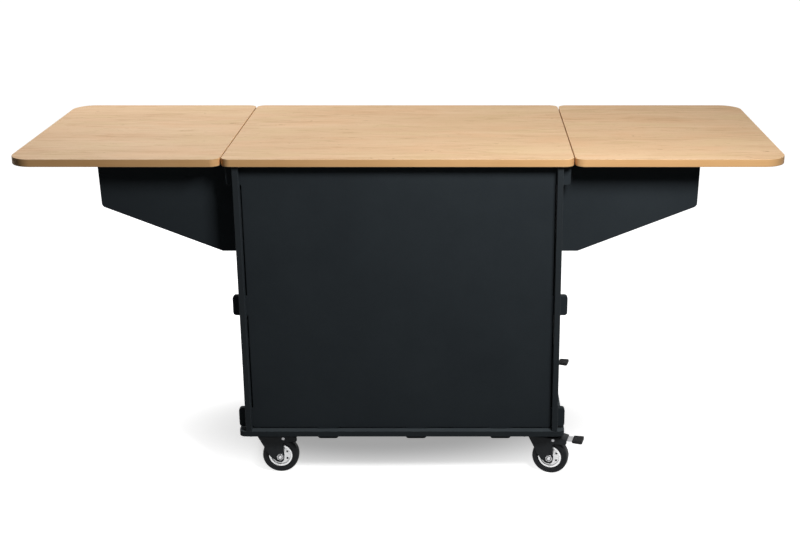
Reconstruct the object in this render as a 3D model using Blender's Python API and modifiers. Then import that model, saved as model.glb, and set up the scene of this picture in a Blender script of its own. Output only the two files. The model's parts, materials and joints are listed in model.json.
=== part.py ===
"""Coffee cart: a board body on four swivel castors, with a worktop and two folding side wings.

The boards slot together with tabs. Each wing is hinged to the worktop and rests on a bracket that
swings out from the side panel. All sizes are in metres, with +Z up, the front towards -Y and the
origin on the floor under the middle of the cart.
"""

import math

import bmesh
import bpy
from mathutils import Matrix, Vector

OBJECT_NAME = "coffee_cart"

# Clearances
GAP = 0.0003            # between faces that touch
SLOT_CLEAR = 0.0004     # round a tab in its slot
SWIVEL_PLAY = 0.0004    # above and below a fork's crown
PIN_CLEAR = 0.0003      # round a pin, rivet or axle in its bore
KNUCKLE_PLAY = 0.0006   # between the knuckles of a hinge

# Body boards
PANEL = 0.015           # thickness of every dark board
BODY_WIDTH = 0.847      # over the side panels
BODY_DEPTH = 0.655
SIDE_HEIGHT = 0.743
BASE_LEDGE = 0.0195     # base plate beyond each side panel
BASE_CORNER = 0.017
FRONT_RECESS = 0.020    # front panel behind the side panels' edges
FRONT_SIDE_GAP = 0.004  # dark line beside the front panel
FRONT_FOOT_GAP = 0.003  # dark line under the front panel

# Tabs
TAB_CORNER = 0.008
SIDE_TAB_HEIGHT = 0.055
SIDE_TAB_REACH = 0.020  # front panel's tabs beyond the side panels
LOW_TAB_RISE = 0.006    # above the base plate
MID_TAB_RISE = 0.330
FOOT_TAB_WIDTH = 0.057
FOOT_TAB_DROP = 0.015   # tabs below the base plate
FRONT_FEET = (-0.203, 0.038, 0.269)
SIDE_FEET = (-0.100, 0.090)

# Shelf, rear rail and cleats
SHELF_RISE = 0.350      # underside above the base plate
SHELF_SETBACK = 0.040   # behind the side panels' rear edges
SHELF_TAB_WIDTH = 0.080
SHELF_TABS = (-0.150, 0.150)
RAIL_HEIGHT = 0.100
RAIL_SETBACK = 0.020
RAIL_TAB_HEIGHT = 0.050
CLEAT = 0.022
CLEAT_INSET = 0.030     # from the front panel and the rear rail

# Worktop and wings
TOP_THICK = 0.020
TOP_OVERHANG = 0.0265   # beyond the side panels
TOP_LIP = 0.0115        # beyond the body at front and back
SEAM_GAP = 0.003
SEAM_CORNER = 0.025
WING_LENGTH = 0.540
WING_CORNER = 0.060

# Hinges
LEAF = 0.0015
KNUCKLE_RADIUS = 0.0032
KNUCKLE_SINK = 0.0005   # how far a leaf runs into its knuckles
HINGE_PIN_RADIUS = 0.0015
PIN_HEAD_RADIUS = 0.0026
PIN_HEAD = 0.0010
WING_LEAF_WIDTH = 0.030
WING_KNUCKLES = 7
WING_HINGE_INSET = 0.094  # from the worktop's front and back edges
BRACKET_LEAF_WIDTH = 0.026
BRACKET_KNUCKLES = 5
BRACKET_KNUCKLE_PITCH = 0.040

# Swing-out brackets
BRACKET_SETBACK = 0.080  # behind the worktop's front edge
BRACKET_REACH = 0.355
BRACKET_HEIGHT = 0.240
BRACKET_HEEL = 0.042     # level part of the lower edge
BRACKET_TIP = 0.117      # height at the outer end
BRACKET_LEAN = 0.003
BRACKET_CORNER = 0.012
BRACKET_DROP = 0.0012    # below the wing hinge's knuckles
REST_LENGTH = 0.060
REST_INSET = 0.030       # from the bracket's outer end
REST_LIP = 0.006
REST_LIP_DROP = 0.008
REST_OVERLAP = 0.010     # rest behind the bracket

# Castors
WHEEL_RADIUS = 0.050
WHEEL_WIDTH = 0.030
WHEEL_FLATS = 22         # twice an odd number, so that a flat lies under the axle
TRAIL = 0.036            # axle behind the kingpin
CASTOR_INSET_X = 0.069   # kingpin from the base plate's edges
CASTOR_INSET_Y = 0.0505
RIM_RADIUS = 0.032
RIM_LIP = 0.0045
RIM_WIDTH = 0.026
RIM_RECESS = 0.0035
RIM_HOLES = 6
RIM_HOLE_RADIUS = 0.003
RIM_HOLE_RING = 0.0205
HUB_RADIUS = 0.010
HUB_PLAY = 0.0006        # between hub and fork
TYRE_SHOULDER = 0.0035
FORK_SHEET = 0.003
FORK_INSIDE = 0.036
FORK_BEND = 0.006
FORK_NOSE = 0.027        # crown ahead of the kingpin
FORK_CHEEK = 0.028       # leading edge ahead of the axle
FORK_BOSS = 0.0165       # below the axle
FORK_WAIST = 0.0085      # trailing edge behind the axle
FORK_EAR = 0.0475        # brake ears behind the axle
FORK_EAR_DEPTH = 0.012
TYRE_ROOM = 0.0103       # under the crown
RACE_HEIGHT = 0.008
RACE_RADIUS = 0.030
RACE_TAPER = 0.004
KINGPIN_RADIUS = 0.006
KINGPIN_HEAD_RADIUS = 0.009
KINGPIN_HEAD = 0.0025
PLATE_THICK = 0.003
PLATE_LENGTH = 0.100
PLATE_WIDTH = 0.085
PLATE_CORNER = 0.010
PLATE_BOLT_X = 0.040
PLATE_BOLT_Y = 0.030
PLATE_HOLE_RADIUS = 0.0045
AXLE_RADIUS = 0.005
AXLE_NUT_RADIUS = 0.0095
AXLE_NUT = 0.0065
RIVET_RADIUS = 0.0025
RIVET_HEAD_RADIUS = 0.0045
RIVET_HEAD = 0.0016
RIVET_BACK = 0.010       # behind the axle
RIVET_ROOM = 0.0045      # above the tyre

# Brake pedals
PEDAL_EYE_RADIUS = 0.0044
PEDAL_PLATE = 0.0025
PEDAL_WIDTH = 0.032
PEDAL_TONGUE = 0.028
PEDAL_REACH = 0.070      # rivet to the end of the tongue
PAD_START = 0.052        # rivet to the pad
PAD_LENGTH = 0.028
PAD_WIDTH = 0.034
PAD_FLARE = 0.003
PAD_THICK = 0.008
PAD_CORNER = 0.005

# Facets
CORNER_STEPS = 4
PIN_SIDES = 10
RACE_STEPS = 16

# Places of the castors, and how far each is swivelled as it stands
CASTORS = {
    "front_left": (-1, -1, 0.0, False),
    "front_right": (1, -1, -15.0, True),
    "rear_left": (-1, 1, 0.0, False),
    "rear_right": (1, 1, -15.0, True),
}

# Heights that follow from the sizes above
TYRE_TOP = 2 * WHEEL_RADIUS
CROWN_UNDER = TYRE_TOP + TYRE_ROOM
CROWN_TOP = CROWN_UNDER + FORK_SHEET
RACE_UNDER = CROWN_TOP + SWIVEL_PLAY
PLATE_UNDER = RACE_UNDER + RACE_HEIGHT
BASE_UNDER = PLATE_UNDER + PLATE_THICK + GAP
BASE_TOP = BASE_UNDER + PANEL
TOP_UNDER = BASE_TOP + SIDE_HEIGHT
PIN_OFFSET = GAP + LEAF + KNUCKLE_RADIUS - KNUCKLE_SINK
WING_PIN_Z = TOP_UNDER - PIN_OFFSET
BRACKET_TOP = WING_PIN_Z - KNUCKLE_RADIUS - BRACKET_DROP

# Widths and depths that follow
SIDE_OUTER = BODY_WIDTH / 2
SIDE_MIDDLE = SIDE_OUTER - PANEL / 2
SIDE_INNER = SIDE_OUTER - PANEL
BODY_FRONT = -BODY_DEPTH / 2
BODY_BACK = BODY_DEPTH / 2
FRONT_MIDDLE = BODY_FRONT + FRONT_RECESS + PANEL / 2
FRONT_BACK = FRONT_MIDDLE + PANEL / 2
RAIL_MIDDLE = BODY_BACK - RAIL_SETBACK - PANEL / 2
TOP_WIDTH = BODY_WIDTH + 2 * TOP_OVERHANG
TOP_DEPTH = BODY_DEPTH + 2 * TOP_LIP
WING_KNUCKLE_PITCH = (TOP_DEPTH - 2 * WING_HINGE_INSET) / WING_KNUCKLES
BASE_WIDTH = BODY_WIDTH + 2 * BASE_LEDGE
WING_PIN_X = TOP_WIDTH / 2 + SEAM_GAP / 2
WING_INNER = TOP_WIDTH / 2 + SEAM_GAP
BRACKET_MIDDLE = -TOP_DEPTH / 2 + BRACKET_SETBACK + PANEL / 2
BRACKET_PIN_X = SIDE_OUTER + PIN_OFFSET
BRACKET_PIN_Y = BRACKET_MIDDLE + PANEL / 2 + PIN_OFFSET

# How a board drawn flat is turned upright
FACING_FRONT = (math.radians(90), 0, 0)
FACING_SIDE = (math.radians(90), 0, math.radians(90))


def clear_scene():
    for old in list(bpy.data.objects):
        bpy.data.objects.remove(old, do_unlink=True)


def new_collection(name):
    made = bpy.data.collections.new(name)
    bpy.context.scene.collection.children.link(made)
    return made


def new_material(name, colour, roughness, metallic=0.0):
    made = bpy.data.materials.new(name)
    made.use_nodes = True
    shader = made.node_tree.nodes["Principled BSDF"]
    shader.inputs["Base Color"].default_value = (*colour, 1.0)
    shader.inputs["Roughness"].default_value = roughness
    shader.inputs["Metallic"].default_value = metallic
    return made


clear_scene()
PARTS = new_collection(OBJECT_NAME)
CUTTERS = new_collection(OBJECT_NAME + "_cutters")
CHARCOAL = new_material("charcoal_laminate", (0.020, 0.022, 0.024), 0.5)
OAK = new_material("light_oak", (0.62, 0.46, 0.29), 0.45)
FELT = new_material("dark_felt", (0.03, 0.03, 0.03), 0.95)
HINGE_STEEL = new_material("hinge_steel", (0.45, 0.45, 0.46), 0.35, 1.0)
BLACK_STEEL = new_material("black_steel", (0.015, 0.015, 0.017), 0.45, 0.2)
BRIGHT_STEEL = new_material("bright_steel", (0.65, 0.65, 0.66), 0.25, 1.0)
RUBBER = new_material("black_rubber", (0.012, 0.012, 0.013), 0.7)
RIM_GREY = new_material("light_grey_rim", (0.70, 0.71, 0.72), 0.4)


def add_part(thing, name, finish, parent=None, location=(0, 0, 0), rotation=(0, 0, 0)):
    """Turns a mesh or curve into a named piece of the cart."""
    piece = bpy.data.objects.new(name, thing)
    PARTS.objects.link(piece)
    thing.materials.append(finish)
    piece.parent = parent
    piece.location = location
    piece.rotation_euler = rotation
    return piece


def add_cutter(thing, parent=None, location=(0, 0, 0), rotation=(0, 0, 0)):
    """A hidden shape that a Boolean takes away from a piece, or joins to it."""
    piece = bpy.data.objects.new(thing.name + "_cutter", thing)
    CUTTERS.objects.link(piece)
    piece.hide_render = True
    piece.display_type = "WIRE"
    piece.parent = parent
    piece.location = location
    piece.rotation_euler = rotation
    return piece


def add_empty(name, location, rotation=(0, 0, 0), parent=None):
    empty = bpy.data.objects.new(name, None)
    PARTS.objects.link(empty)
    empty.parent = parent
    empty.location = location
    empty.rotation_euler = rotation
    return empty


def combine(piece, cutter, operation):
    boolean = piece.modifiers.new(operation.lower(), "BOOLEAN")
    boolean.operation = operation
    boolean.solver = "EXACT"
    boolean.object = cutter


def axes_rotation(x_axis, y_axis):
    """The rotation that lays the local X and Y axes along two directions."""
    x_axis = Vector(x_axis)
    y_axis = Vector(y_axis)
    columns = Matrix((x_axis, y_axis, x_axis.cross(y_axis)))
    return columns.transposed().to_euler()


def rounded(corners):
    """Points of a closed outline whose corners, (x, y, radius), are rounded by arcs."""
    points = []
    for number, (x, y, radius) in enumerate(corners):
        corner = Vector((x, y))
        before = Vector(corners[number - 1][:2]) - corner
        after = Vector(corners[(number + 1) % len(corners)][:2]) - corner
        if radius == 0:
            points.append(corner)
            continue
        half = before.angle(after) / 2
        reach = min(radius / math.tan(half), 0.49 * before.length, 0.49 * after.length)
        radius = reach * math.tan(half)
        middle = before.normalized() + after.normalized()
        centre = corner + middle.normalized() * radius / math.sin(half)
        arm = corner + before.normalized() * reach - centre
        turn = math.copysign(math.pi - 2 * half, before.y * after.x - before.x * after.y)
        for step in range(CORNER_STEPS + 1):
            points.append(centre + Matrix.Rotation(turn * step / CORNER_STEPS, 2) @ arm)
    return points


def rectangle(x, y, width, height, radius=0):
    """Corners of a rectangle round a middle point."""
    return [
        (x - width / 2, y - height / 2, radius),
        (x + width / 2, y - height / 2, radius),
        (x + width / 2, y + height / 2, radius),
        (x - width / 2, y + height / 2, radius),
    ]


def circle(radius, sides, x=0, y=0):
    turns = [2 * math.pi * side / sides for side in range(sides)]
    return [Vector((x + radius * math.cos(turn), y + radius * math.sin(turn))) for turn in turns]


def mirrored(corners):
    """The corners of the other half of an outline, in the same turning sense."""
    return [(-x, y, radius) for x, y, radius in reversed(corners)]


def feet(centres, width, edge, drop):
    """Corners of the tabs below a bottom edge, from left to right."""
    corners = []
    for centre in centres:
        left = centre - width / 2
        right = centre + width / 2
        corners.append((left, edge, 0))
        corners.append((left, edge - drop, TAB_CORNER))
        corners.append((right, edge - drop, TAB_CORNER))
        corners.append((right, edge, 0))
    return corners


def side_tabs(spans, edge, tip, radius):
    """Corners of the tabs on a right-hand edge, from low to high."""
    corners = []
    for low, high in spans:
        corners.append((edge, low, 0))
        corners.append((tip, low, radius))
        corners.append((tip, high, radius))
        corners.append((edge, high, 0))
    return corners


def slot(x, y, width, height):
    """A square-cornered hole with clearance round what passes through it."""
    return rounded(rectangle(x, y, width + 2 * SLOT_CLEAR, height + 2 * SLOT_CLEAR))


def board(name, outline, thickness, holes=()):
    """A flat outline with holes, filled and thickened equally to both sides."""
    curve = bpy.data.curves.new(name, "CURVE")
    curve.dimensions = "2D"
    curve.fill_mode = "BOTH"
    curve.extrude = thickness / 2
    for ring in (outline, *holes):
        spline = curve.splines.new("POLY")
        spline.points.add(len(ring) - 1)
        for point, (x, y) in zip(spline.points, ring):
            point.co = (x, y, 0, 1)
        spline.use_cyclic_u = True
    return curve


def board_mesh(curve):
    """A board as a mesh, so that Booleans can use it."""
    carrier = bpy.data.objects.new(curve.name, curve)
    CUTTERS.objects.link(carrier)
    bpy.context.view_layer.update()
    evaluated = carrier.evaluated_get(bpy.context.evaluated_depsgraph_get())
    mesh = bpy.data.meshes.new_from_object(evaluated)
    mesh.name = curve.name
    bpy.data.objects.remove(carrier)
    bpy.data.curves.remove(curve)
    welded = bmesh.new()
    welded.from_mesh(mesh)
    bmesh.ops.remove_doubles(welded, verts=welded.verts, dist=1e-6)
    welded.to_mesh(mesh)
    welded.free()
    return mesh


def block(name, size):
    """A box round its own middle."""
    shape = bmesh.new()
    bmesh.ops.create_cube(shape, size=1.0)
    bmesh.ops.scale(shape, vec=size, verts=shape.verts)
    mesh = bpy.data.meshes.new(name)
    shape.to_mesh(mesh)
    shape.free()
    return mesh


def rods(name, radius, length, sides, places=((0, 0, 0),)):
    """One or more upright rods round the places given."""
    shape = bmesh.new()
    for place in places:
        bmesh.ops.create_cone(
            shape, cap_ends=True, segments=sides, radius1=radius, radius2=radius,
            depth=length, matrix=Matrix.Translation(place))
    mesh = bpy.data.meshes.new(name)
    shape.to_mesh(mesh)
    shape.free()
    mesh.shade_smooth()
    mesh.set_sharp_from_angle(angle=math.radians(40))
    return mesh


def profile_mesh(name, profile, closed):
    """A profile of (radius, height) points, in order down its outer side."""
    shape = bmesh.new()
    corners = [shape.verts.new((radius, 0, height)) for radius, height in profile]
    for first, second in zip(corners, corners[1:]):
        shape.edges.new((first, second))
    if closed:
        shape.edges.new((corners[-1], corners[0]))
    mesh = bpy.data.meshes.new(name)
    shape.to_mesh(mesh)
    shape.free()
    return mesh


def turn_profile(piece, steps):
    """Turns a profile round its own Z axis into a solid."""
    screw = piece.modifiers.new("turned", "SCREW")
    screw.steps = steps
    screw.render_steps = steps
    screw.use_merge_vertices = True
    screw.merge_threshold = 0.00001
    screw.use_smooth_shade = True


def pin_profile(length, radius, head, head_radius):
    """Half of a pin with a flat head at each end."""
    half = length / 2
    return [
        (0, half + head),
        (head_radius, half + head),
        (head_radius, half),
        (radius, half),
        (radius, -half),
        (head_radius, -half),
        (head_radius, -half - head),
        (0, -half - head),
    ]


# Body boards


def build_base_plate():
    outline = rounded(rectangle(0, 0, BASE_WIDTH, BODY_DEPTH, BASE_CORNER))
    holes = [slot(x, FRONT_MIDDLE, FOOT_TAB_WIDTH, PANEL) for x in FRONT_FEET]
    for side in (-1, 1):
        holes += [slot(side * SIDE_MIDDLE, y, PANEL, FOOT_TAB_WIDTH) for y in SIDE_FEET]
    plate = board("base_plate", outline, PANEL, holes)
    add_part(plate, "base_plate", CHARCOAL, location=(0, 0, BASE_TOP - PANEL / 2))


def front_tab_spans():
    """Low and high ends of the front panel's closed side tabs, above the base plate."""
    starts = (LOW_TAB_RISE, MID_TAB_RISE)
    return [(start, start + SIDE_TAB_HEIGHT) for start in starts]


def build_side_panel(name, side):
    """Drawn in Y and Z, with heights above the base plate."""
    notch = SIDE_HEIGHT - GAP - SIDE_TAB_HEIGHT - SLOT_CLEAR
    notch_front = FRONT_MIDDLE - PANEL / 2 - SLOT_CLEAR
    notch_back = FRONT_MIDDLE + PANEL / 2 + SLOT_CLEAR
    high = SIDE_HEIGHT - GAP
    corners = [(BODY_FRONT, GAP, 0)]
    corners += feet(SIDE_FEET, FOOT_TAB_WIDTH, GAP, PANEL + FOOT_TAB_DROP + GAP)
    corners += [(BODY_BACK, GAP, 0), (BODY_BACK, high, 0)]
    corners += [(notch_back, high, 0), (notch_back, notch, 0)]
    corners += [(notch_front, notch, 0), (notch_front, high, 0), (BODY_FRONT, high, 0)]
    holes = []
    for low, top in front_tab_spans():
        holes.append(slot(FRONT_MIDDLE, (low + top) / 2, PANEL, SIDE_TAB_HEIGHT))
    for y in SHELF_TABS:
        holes.append(slot(y, SHELF_RISE + PANEL / 2, SHELF_TAB_WIDTH, PANEL))
    holes.append(slot(RAIL_MIDDLE, SIDE_HEIGHT - RAIL_HEIGHT / 2, PANEL, RAIL_TAB_HEIGHT))
    panel = board(name, rounded(corners), PANEL, holes)
    add_part(panel, name, CHARCOAL, location=(side * SIDE_MIDDLE, 0, BASE_TOP),
             rotation=FACING_SIDE)


def build_front_panel():
    """Drawn in X and Z, with heights above the base plate."""
    edge = SIDE_INNER - FRONT_SIDE_GAP
    tip = SIDE_OUTER + SIDE_TAB_REACH
    high = SIDE_HEIGHT - GAP
    right = [(edge, FRONT_FOOT_GAP, 0)]
    right += side_tabs(front_tab_spans(), edge, tip, TAB_CORNER)
    right += [(edge, high - SIDE_TAB_HEIGHT, 0), (tip, high - SIDE_TAB_HEIGHT, TAB_CORNER)]
    right += [(tip, high, TAB_CORNER)]
    drop = FRONT_FOOT_GAP + PANEL + FOOT_TAB_DROP
    corners = feet(FRONT_FEET, FOOT_TAB_WIDTH, FRONT_FOOT_GAP, drop)
    corners += right + mirrored(right)
    panel = board("front_panel", rounded(corners), PANEL)
    add_part(panel, "front_panel", CHARCOAL, location=(0, FRONT_MIDDLE, BASE_TOP),
             rotation=FACING_FRONT)


def build_shelf():
    """Behind the front panel, with tabs that end flush in the side panels."""
    edge = SIDE_INNER - GAP
    spans = [(y - SHELF_TAB_WIDTH / 2, y + SHELF_TAB_WIDTH / 2) for y in SHELF_TABS]
    right = [(edge, FRONT_BACK + GAP, 0)]
    right += side_tabs(spans, edge, SIDE_OUTER, 0)
    right += [(edge, BODY_BACK - SHELF_SETBACK, 0)]
    shelf = board("shelf", rounded(right + mirrored(right)), PANEL)
    add_part(shelf, "shelf", CHARCOAL, location=(0, 0, BASE_TOP + SHELF_RISE + PANEL / 2))


def build_rear_rail():
    """Across the open back, under the worktop."""
    edge = SIDE_INNER - GAP
    middle = SIDE_HEIGHT - RAIL_HEIGHT / 2
    spans = [(middle - RAIL_TAB_HEIGHT / 2, middle + RAIL_TAB_HEIGHT / 2)]
    right = [(edge, SIDE_HEIGHT - RAIL_HEIGHT, 0)]
    right += side_tabs(spans, edge, SIDE_OUTER, 0)
    right += [(edge, SIDE_HEIGHT - GAP, 0)]
    rail = board("rear_rail", rounded(right + mirrored(right)), PANEL)
    add_part(rail, "rear_rail", CHARCOAL, location=(0, RAIL_MIDDLE, BASE_TOP),
             rotation=FACING_FRONT)


def build_cleat(name, side):
    """A batten in the corner of side panel and worktop, which holds the worktop down."""
    front = FRONT_BACK + CLEAT_INSET
    back = RAIL_MIDDLE - PANEL / 2 - CLEAT_INSET
    cleat = block(name, (CLEAT, back - front, CLEAT))
    x = side * (SIDE_INNER - GAP - CLEAT / 2)
    z = TOP_UNDER - GAP - CLEAT / 2
    add_part(cleat, name, CHARCOAL, location=(x, (front + back) / 2, z))


# Worktop, wings and their hinges


def build_centre_top():
    outline = rounded(rectangle(0, 0, TOP_WIDTH, TOP_DEPTH, SEAM_CORNER))
    top = board("centre_top", outline, TOP_THICK)
    add_part(top, "centre_top", OAK, location=(0, 0, TOP_UNDER + TOP_THICK / 2))


def build_wing(name, side, hinge):
    """Drawn outwards from the hinge pin."""
    inner = side * (WING_INNER - WING_PIN_X)
    outer = inner + side * WING_LENGTH
    corners = [
        (inner, -TOP_DEPTH / 2, SEAM_CORNER),
        (outer, -TOP_DEPTH / 2, WING_CORNER),
        (outer, TOP_DEPTH / 2, WING_CORNER),
        (inner, TOP_DEPTH / 2, SEAM_CORNER),
    ]
    outline = rounded(corners if side > 0 else corners[::-1])
    wing = board(name, outline, TOP_THICK)
    add_part(wing, name, OAK, hinge, location=(0, 0, PIN_OFFSET + TOP_THICK / 2))


def build_wing_rest(name, side, hinge):
    """A felted block under the wing, with a lip that stops the bracket at the front."""
    low = BRACKET_TOP + GAP - WING_PIN_Z
    high = PIN_OFFSET - GAP
    front = BRACKET_MIDDLE - PANEL / 2 - GAP
    back = BRACKET_MIDDLE + PANEL / 2 + REST_OVERLAP
    corners = [
        (front - REST_LIP, low - REST_LIP_DROP, 0),
        (front, low - REST_LIP_DROP, 0),
        (front, low, 0),
        (back, low, 0),
        (back, high, 0),
        (front - REST_LIP, high, 0),
    ]
    x = BRACKET_PIN_X + BRACKET_REACH - REST_INSET - REST_LENGTH / 2
    rest = board(name, rounded(corners), REST_LENGTH)
    add_part(rest, name, FELT, hinge, location=(side * (x - WING_PIN_X), 0, 0),
             rotation=FACING_SIDE)


def comb(width, count, pitch, first):
    """A leaf's outline: the pin along Y at X = 0, and a finger for every second knuckle."""
    root = KNUCKLE_RADIUS + KNUCKLE_PLAY
    bottom = -count * pitch / 2
    low = bottom + KNUCKLE_PLAY / 2
    high = -low
    corners = [(width, low, 0), (width, high, 0)]
    for number in range(count - 1, -1, -1):
        start = bottom + number * pitch + KNUCKLE_PLAY / 2
        end = start + pitch - KNUCKLE_PLAY
        if number % 2 == first:
            corners += [(0, end, 0), (0, start, 0)]
        else:
            over = min(end + KNUCKLE_PLAY, high)
            under = max(start - KNUCKLE_PLAY, low)
            corners += [(root, over, 0), (root, under, 0)]
    return rounded(corners)


def build_leaf(name, first, size, parent, location, x_axis, y_axis):
    """A hinge leaf: local Z is the pin, X runs along the leaf and Y faces what it is fixed to."""
    width, count, pitch = size
    rotation = axes_rotation(x_axis, y_axis)
    plate = board_mesh(board(name, comb(width, count, pitch, first), LEAF))
    plate.transform(Matrix.Rotation(math.radians(90), 4, "X"))
    plate.transform(Matrix.Translation((0, PIN_OFFSET - GAP - LEAF / 2, 0)))
    leaf = add_part(plate, name, HINGE_STEEL, parent, location, rotation)
    bore = circle(HINGE_PIN_RADIUS + PIN_CLEAR, PIN_SIDES)
    tube = board(name + "_knuckle", circle(KNUCKLE_RADIUS, PIN_SIDES), pitch - KNUCKLE_PLAY, [bore])
    knuckle = board_mesh(tube)
    knuckle.transform(Matrix.Translation((0, 0, (first + 0.5 - count / 2) * pitch)))
    row = add_cutter(knuckle, parent, location, rotation)
    repeat = row.modifiers.new("row", "ARRAY")
    repeat.count = len(range(first, count, 2))
    repeat.use_relative_offset = False
    repeat.use_constant_offset = True
    repeat.constant_offset_displace = (0, 0, 2 * pitch)
    combine(leaf, row, "UNION")


def build_hinge_pin(name, count, pitch, location, y_axis):
    length = count * pitch
    pin = profile_mesh(
        name, pin_profile(length, HINGE_PIN_RADIUS, PIN_HEAD, PIN_HEAD_RADIUS), closed=False)
    piece = add_part(pin, name, HINGE_STEEL, None, location, axes_rotation((1, 0, 0), y_axis))
    turn_profile(piece, PIN_SIDES)


def build_wing_side(word, side):
    pin = (side * WING_PIN_X, 0, WING_PIN_Z)
    hinge = add_empty(word + "_wing_pivot", pin)
    fixed_width = min(WING_LEAF_WIDTH, TOP_OVERHANG + SEAM_GAP / 2 - GAP)
    fixed_size = (fixed_width, WING_KNUCKLES, WING_KNUCKLE_PITCH)
    moving_size = (WING_LEAF_WIDTH, WING_KNUCKLES, WING_KNUCKLE_PITCH)
    up = (0, 0, 1)
    build_wing(word + "_wing", side, hinge)
    build_wing_rest(word + "_wing_rest", side, hinge)
    build_leaf(word + "_wing_hinge_leaf_fixed", 0, fixed_size, None, pin, (-side, 0, 0), up)
    build_leaf(word + "_wing_hinge_leaf_moving", 1, moving_size, hinge, (0, 0, 0), (side, 0, 0), up)
    build_hinge_pin(word + "_wing_hinge_pin", WING_KNUCKLES, WING_KNUCKLE_PITCH, pin, up)


# Swing-out brackets and their hinges


def build_bracket(name, side, hinge):
    """Drawn outwards from the hinge pin, with heights above the middle of the hinge."""
    low = -BRACKET_HEIGHT / 2
    high = BRACKET_HEIGHT / 2
    corners = [
        (0, low, 0),
        (BRACKET_HEEL, low, BRACKET_CORNER),
        (BRACKET_REACH - BRACKET_LEAN, high - BRACKET_TIP, BRACKET_CORNER),
        (BRACKET_REACH, high, BRACKET_CORNER),
        (0, high, 0),
    ]
    outline = rounded(corners if side > 0 else mirrored(corners))
    bracket = board(name, outline, PANEL)
    add_part(bracket, name, CHARCOAL, hinge, location=(0, BRACKET_MIDDLE - BRACKET_PIN_Y, 0),
             rotation=FACING_FRONT)


def build_bracket_side(word, side):
    pin = (side * BRACKET_PIN_X, BRACKET_PIN_Y, BRACKET_TOP - BRACKET_HEIGHT / 2)
    hinge = add_empty(word + "_bracket_pivot", pin)
    size = (BRACKET_LEAF_WIDTH, BRACKET_KNUCKLES, BRACKET_KNUCKLE_PITCH)
    name = word + "_bracket_hinge"
    build_bracket(word + "_bracket", side, hinge)
    build_leaf(name + "_leaf_fixed", 0, size, None, pin, (0, 1, 0), (-side, 0, 0))
    build_leaf(name + "_leaf_moving", 1, size, hinge, (0, 0, 0), (side, 0, 0), (0, -1, 0))
    build_hinge_pin(name + "_pin", BRACKET_KNUCKLES, BRACKET_KNUCKLE_PITCH, pin, (0, 1, 0))


# Castors: local X runs from the kingpin towards the axle, and heights are above the floor


def build_castor_plate(name, place):
    """The fixed top plate, with its swivel race and the kingpin riveted into it."""
    corners = rectangle(0, 0, PLATE_LENGTH, PLATE_WIDTH, PLATE_CORNER)
    holes = []
    for x in (-PLATE_BOLT_X, PLATE_BOLT_X):
        for y in (-PLATE_BOLT_Y, PLATE_BOLT_Y):
            holes.append(circle(PLATE_HOLE_RADIUS, PIN_SIDES, x, y))
    flat = board_mesh(board(name, rounded(corners), PLATE_THICK, holes))
    flat.transform(Matrix.Translation((0, 0, PLATE_UNDER + PLATE_THICK / 2)))
    plate = add_part(flat, name, BLACK_STEEL, None, place)
    head_top = CROWN_UNDER - SWIVEL_PLAY
    head_low = head_top - KINGPIN_HEAD
    profile = [
        (0, PLATE_UNDER + PLATE_THICK / 2),
        (RACE_RADIUS, PLATE_UNDER + PLATE_THICK / 2),
        (RACE_RADIUS, PLATE_UNDER - RACE_HEIGHT / 2),
        (RACE_RADIUS - RACE_TAPER, RACE_UNDER),
        (KINGPIN_RADIUS, RACE_UNDER),
        (KINGPIN_RADIUS, head_top),
        (KINGPIN_HEAD_RADIUS, head_top),
        (KINGPIN_HEAD_RADIUS, head_low),
        (0, head_low),
    ]
    race = add_cutter(profile_mesh(name + "_race", profile, closed=False), None, place)
    turn_profile(race, RACE_STEPS)
    combine(plate, race, "UNION")


def fork_side_corners():
    """The fork seen from the side: slanted leading edge, axle boss and brake ears."""
    over = CROWN_TOP + FORK_SHEET
    axle = WHEEL_RADIUS
    ear_low = TYRE_TOP - FORK_EAR_DEPTH / 2
    ear_high = ear_low + FORK_EAR_DEPTH
    return [
        (-FORK_NOSE, over, 0),
        (TRAIL - FORK_CHEEK, axle, FORK_BOSS),
        (TRAIL - FORK_BOSS / 2, axle - FORK_BOSS, FORK_BOSS / 2),
        (TRAIL + FORK_BOSS / 2, axle - FORK_BOSS, FORK_BOSS / 2),
        (TRAIL + FORK_WAIST + FORK_SHEET, axle, FORK_BOSS / 2),
        (TRAIL + FORK_WAIST, ear_low, FORK_BEND),
        (TRAIL + FORK_EAR, ear_low, FORK_BEND),
        (TRAIL + FORK_EAR, ear_high, FORK_SHEET),
        (TRAIL, over, 0),
    ]


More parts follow.
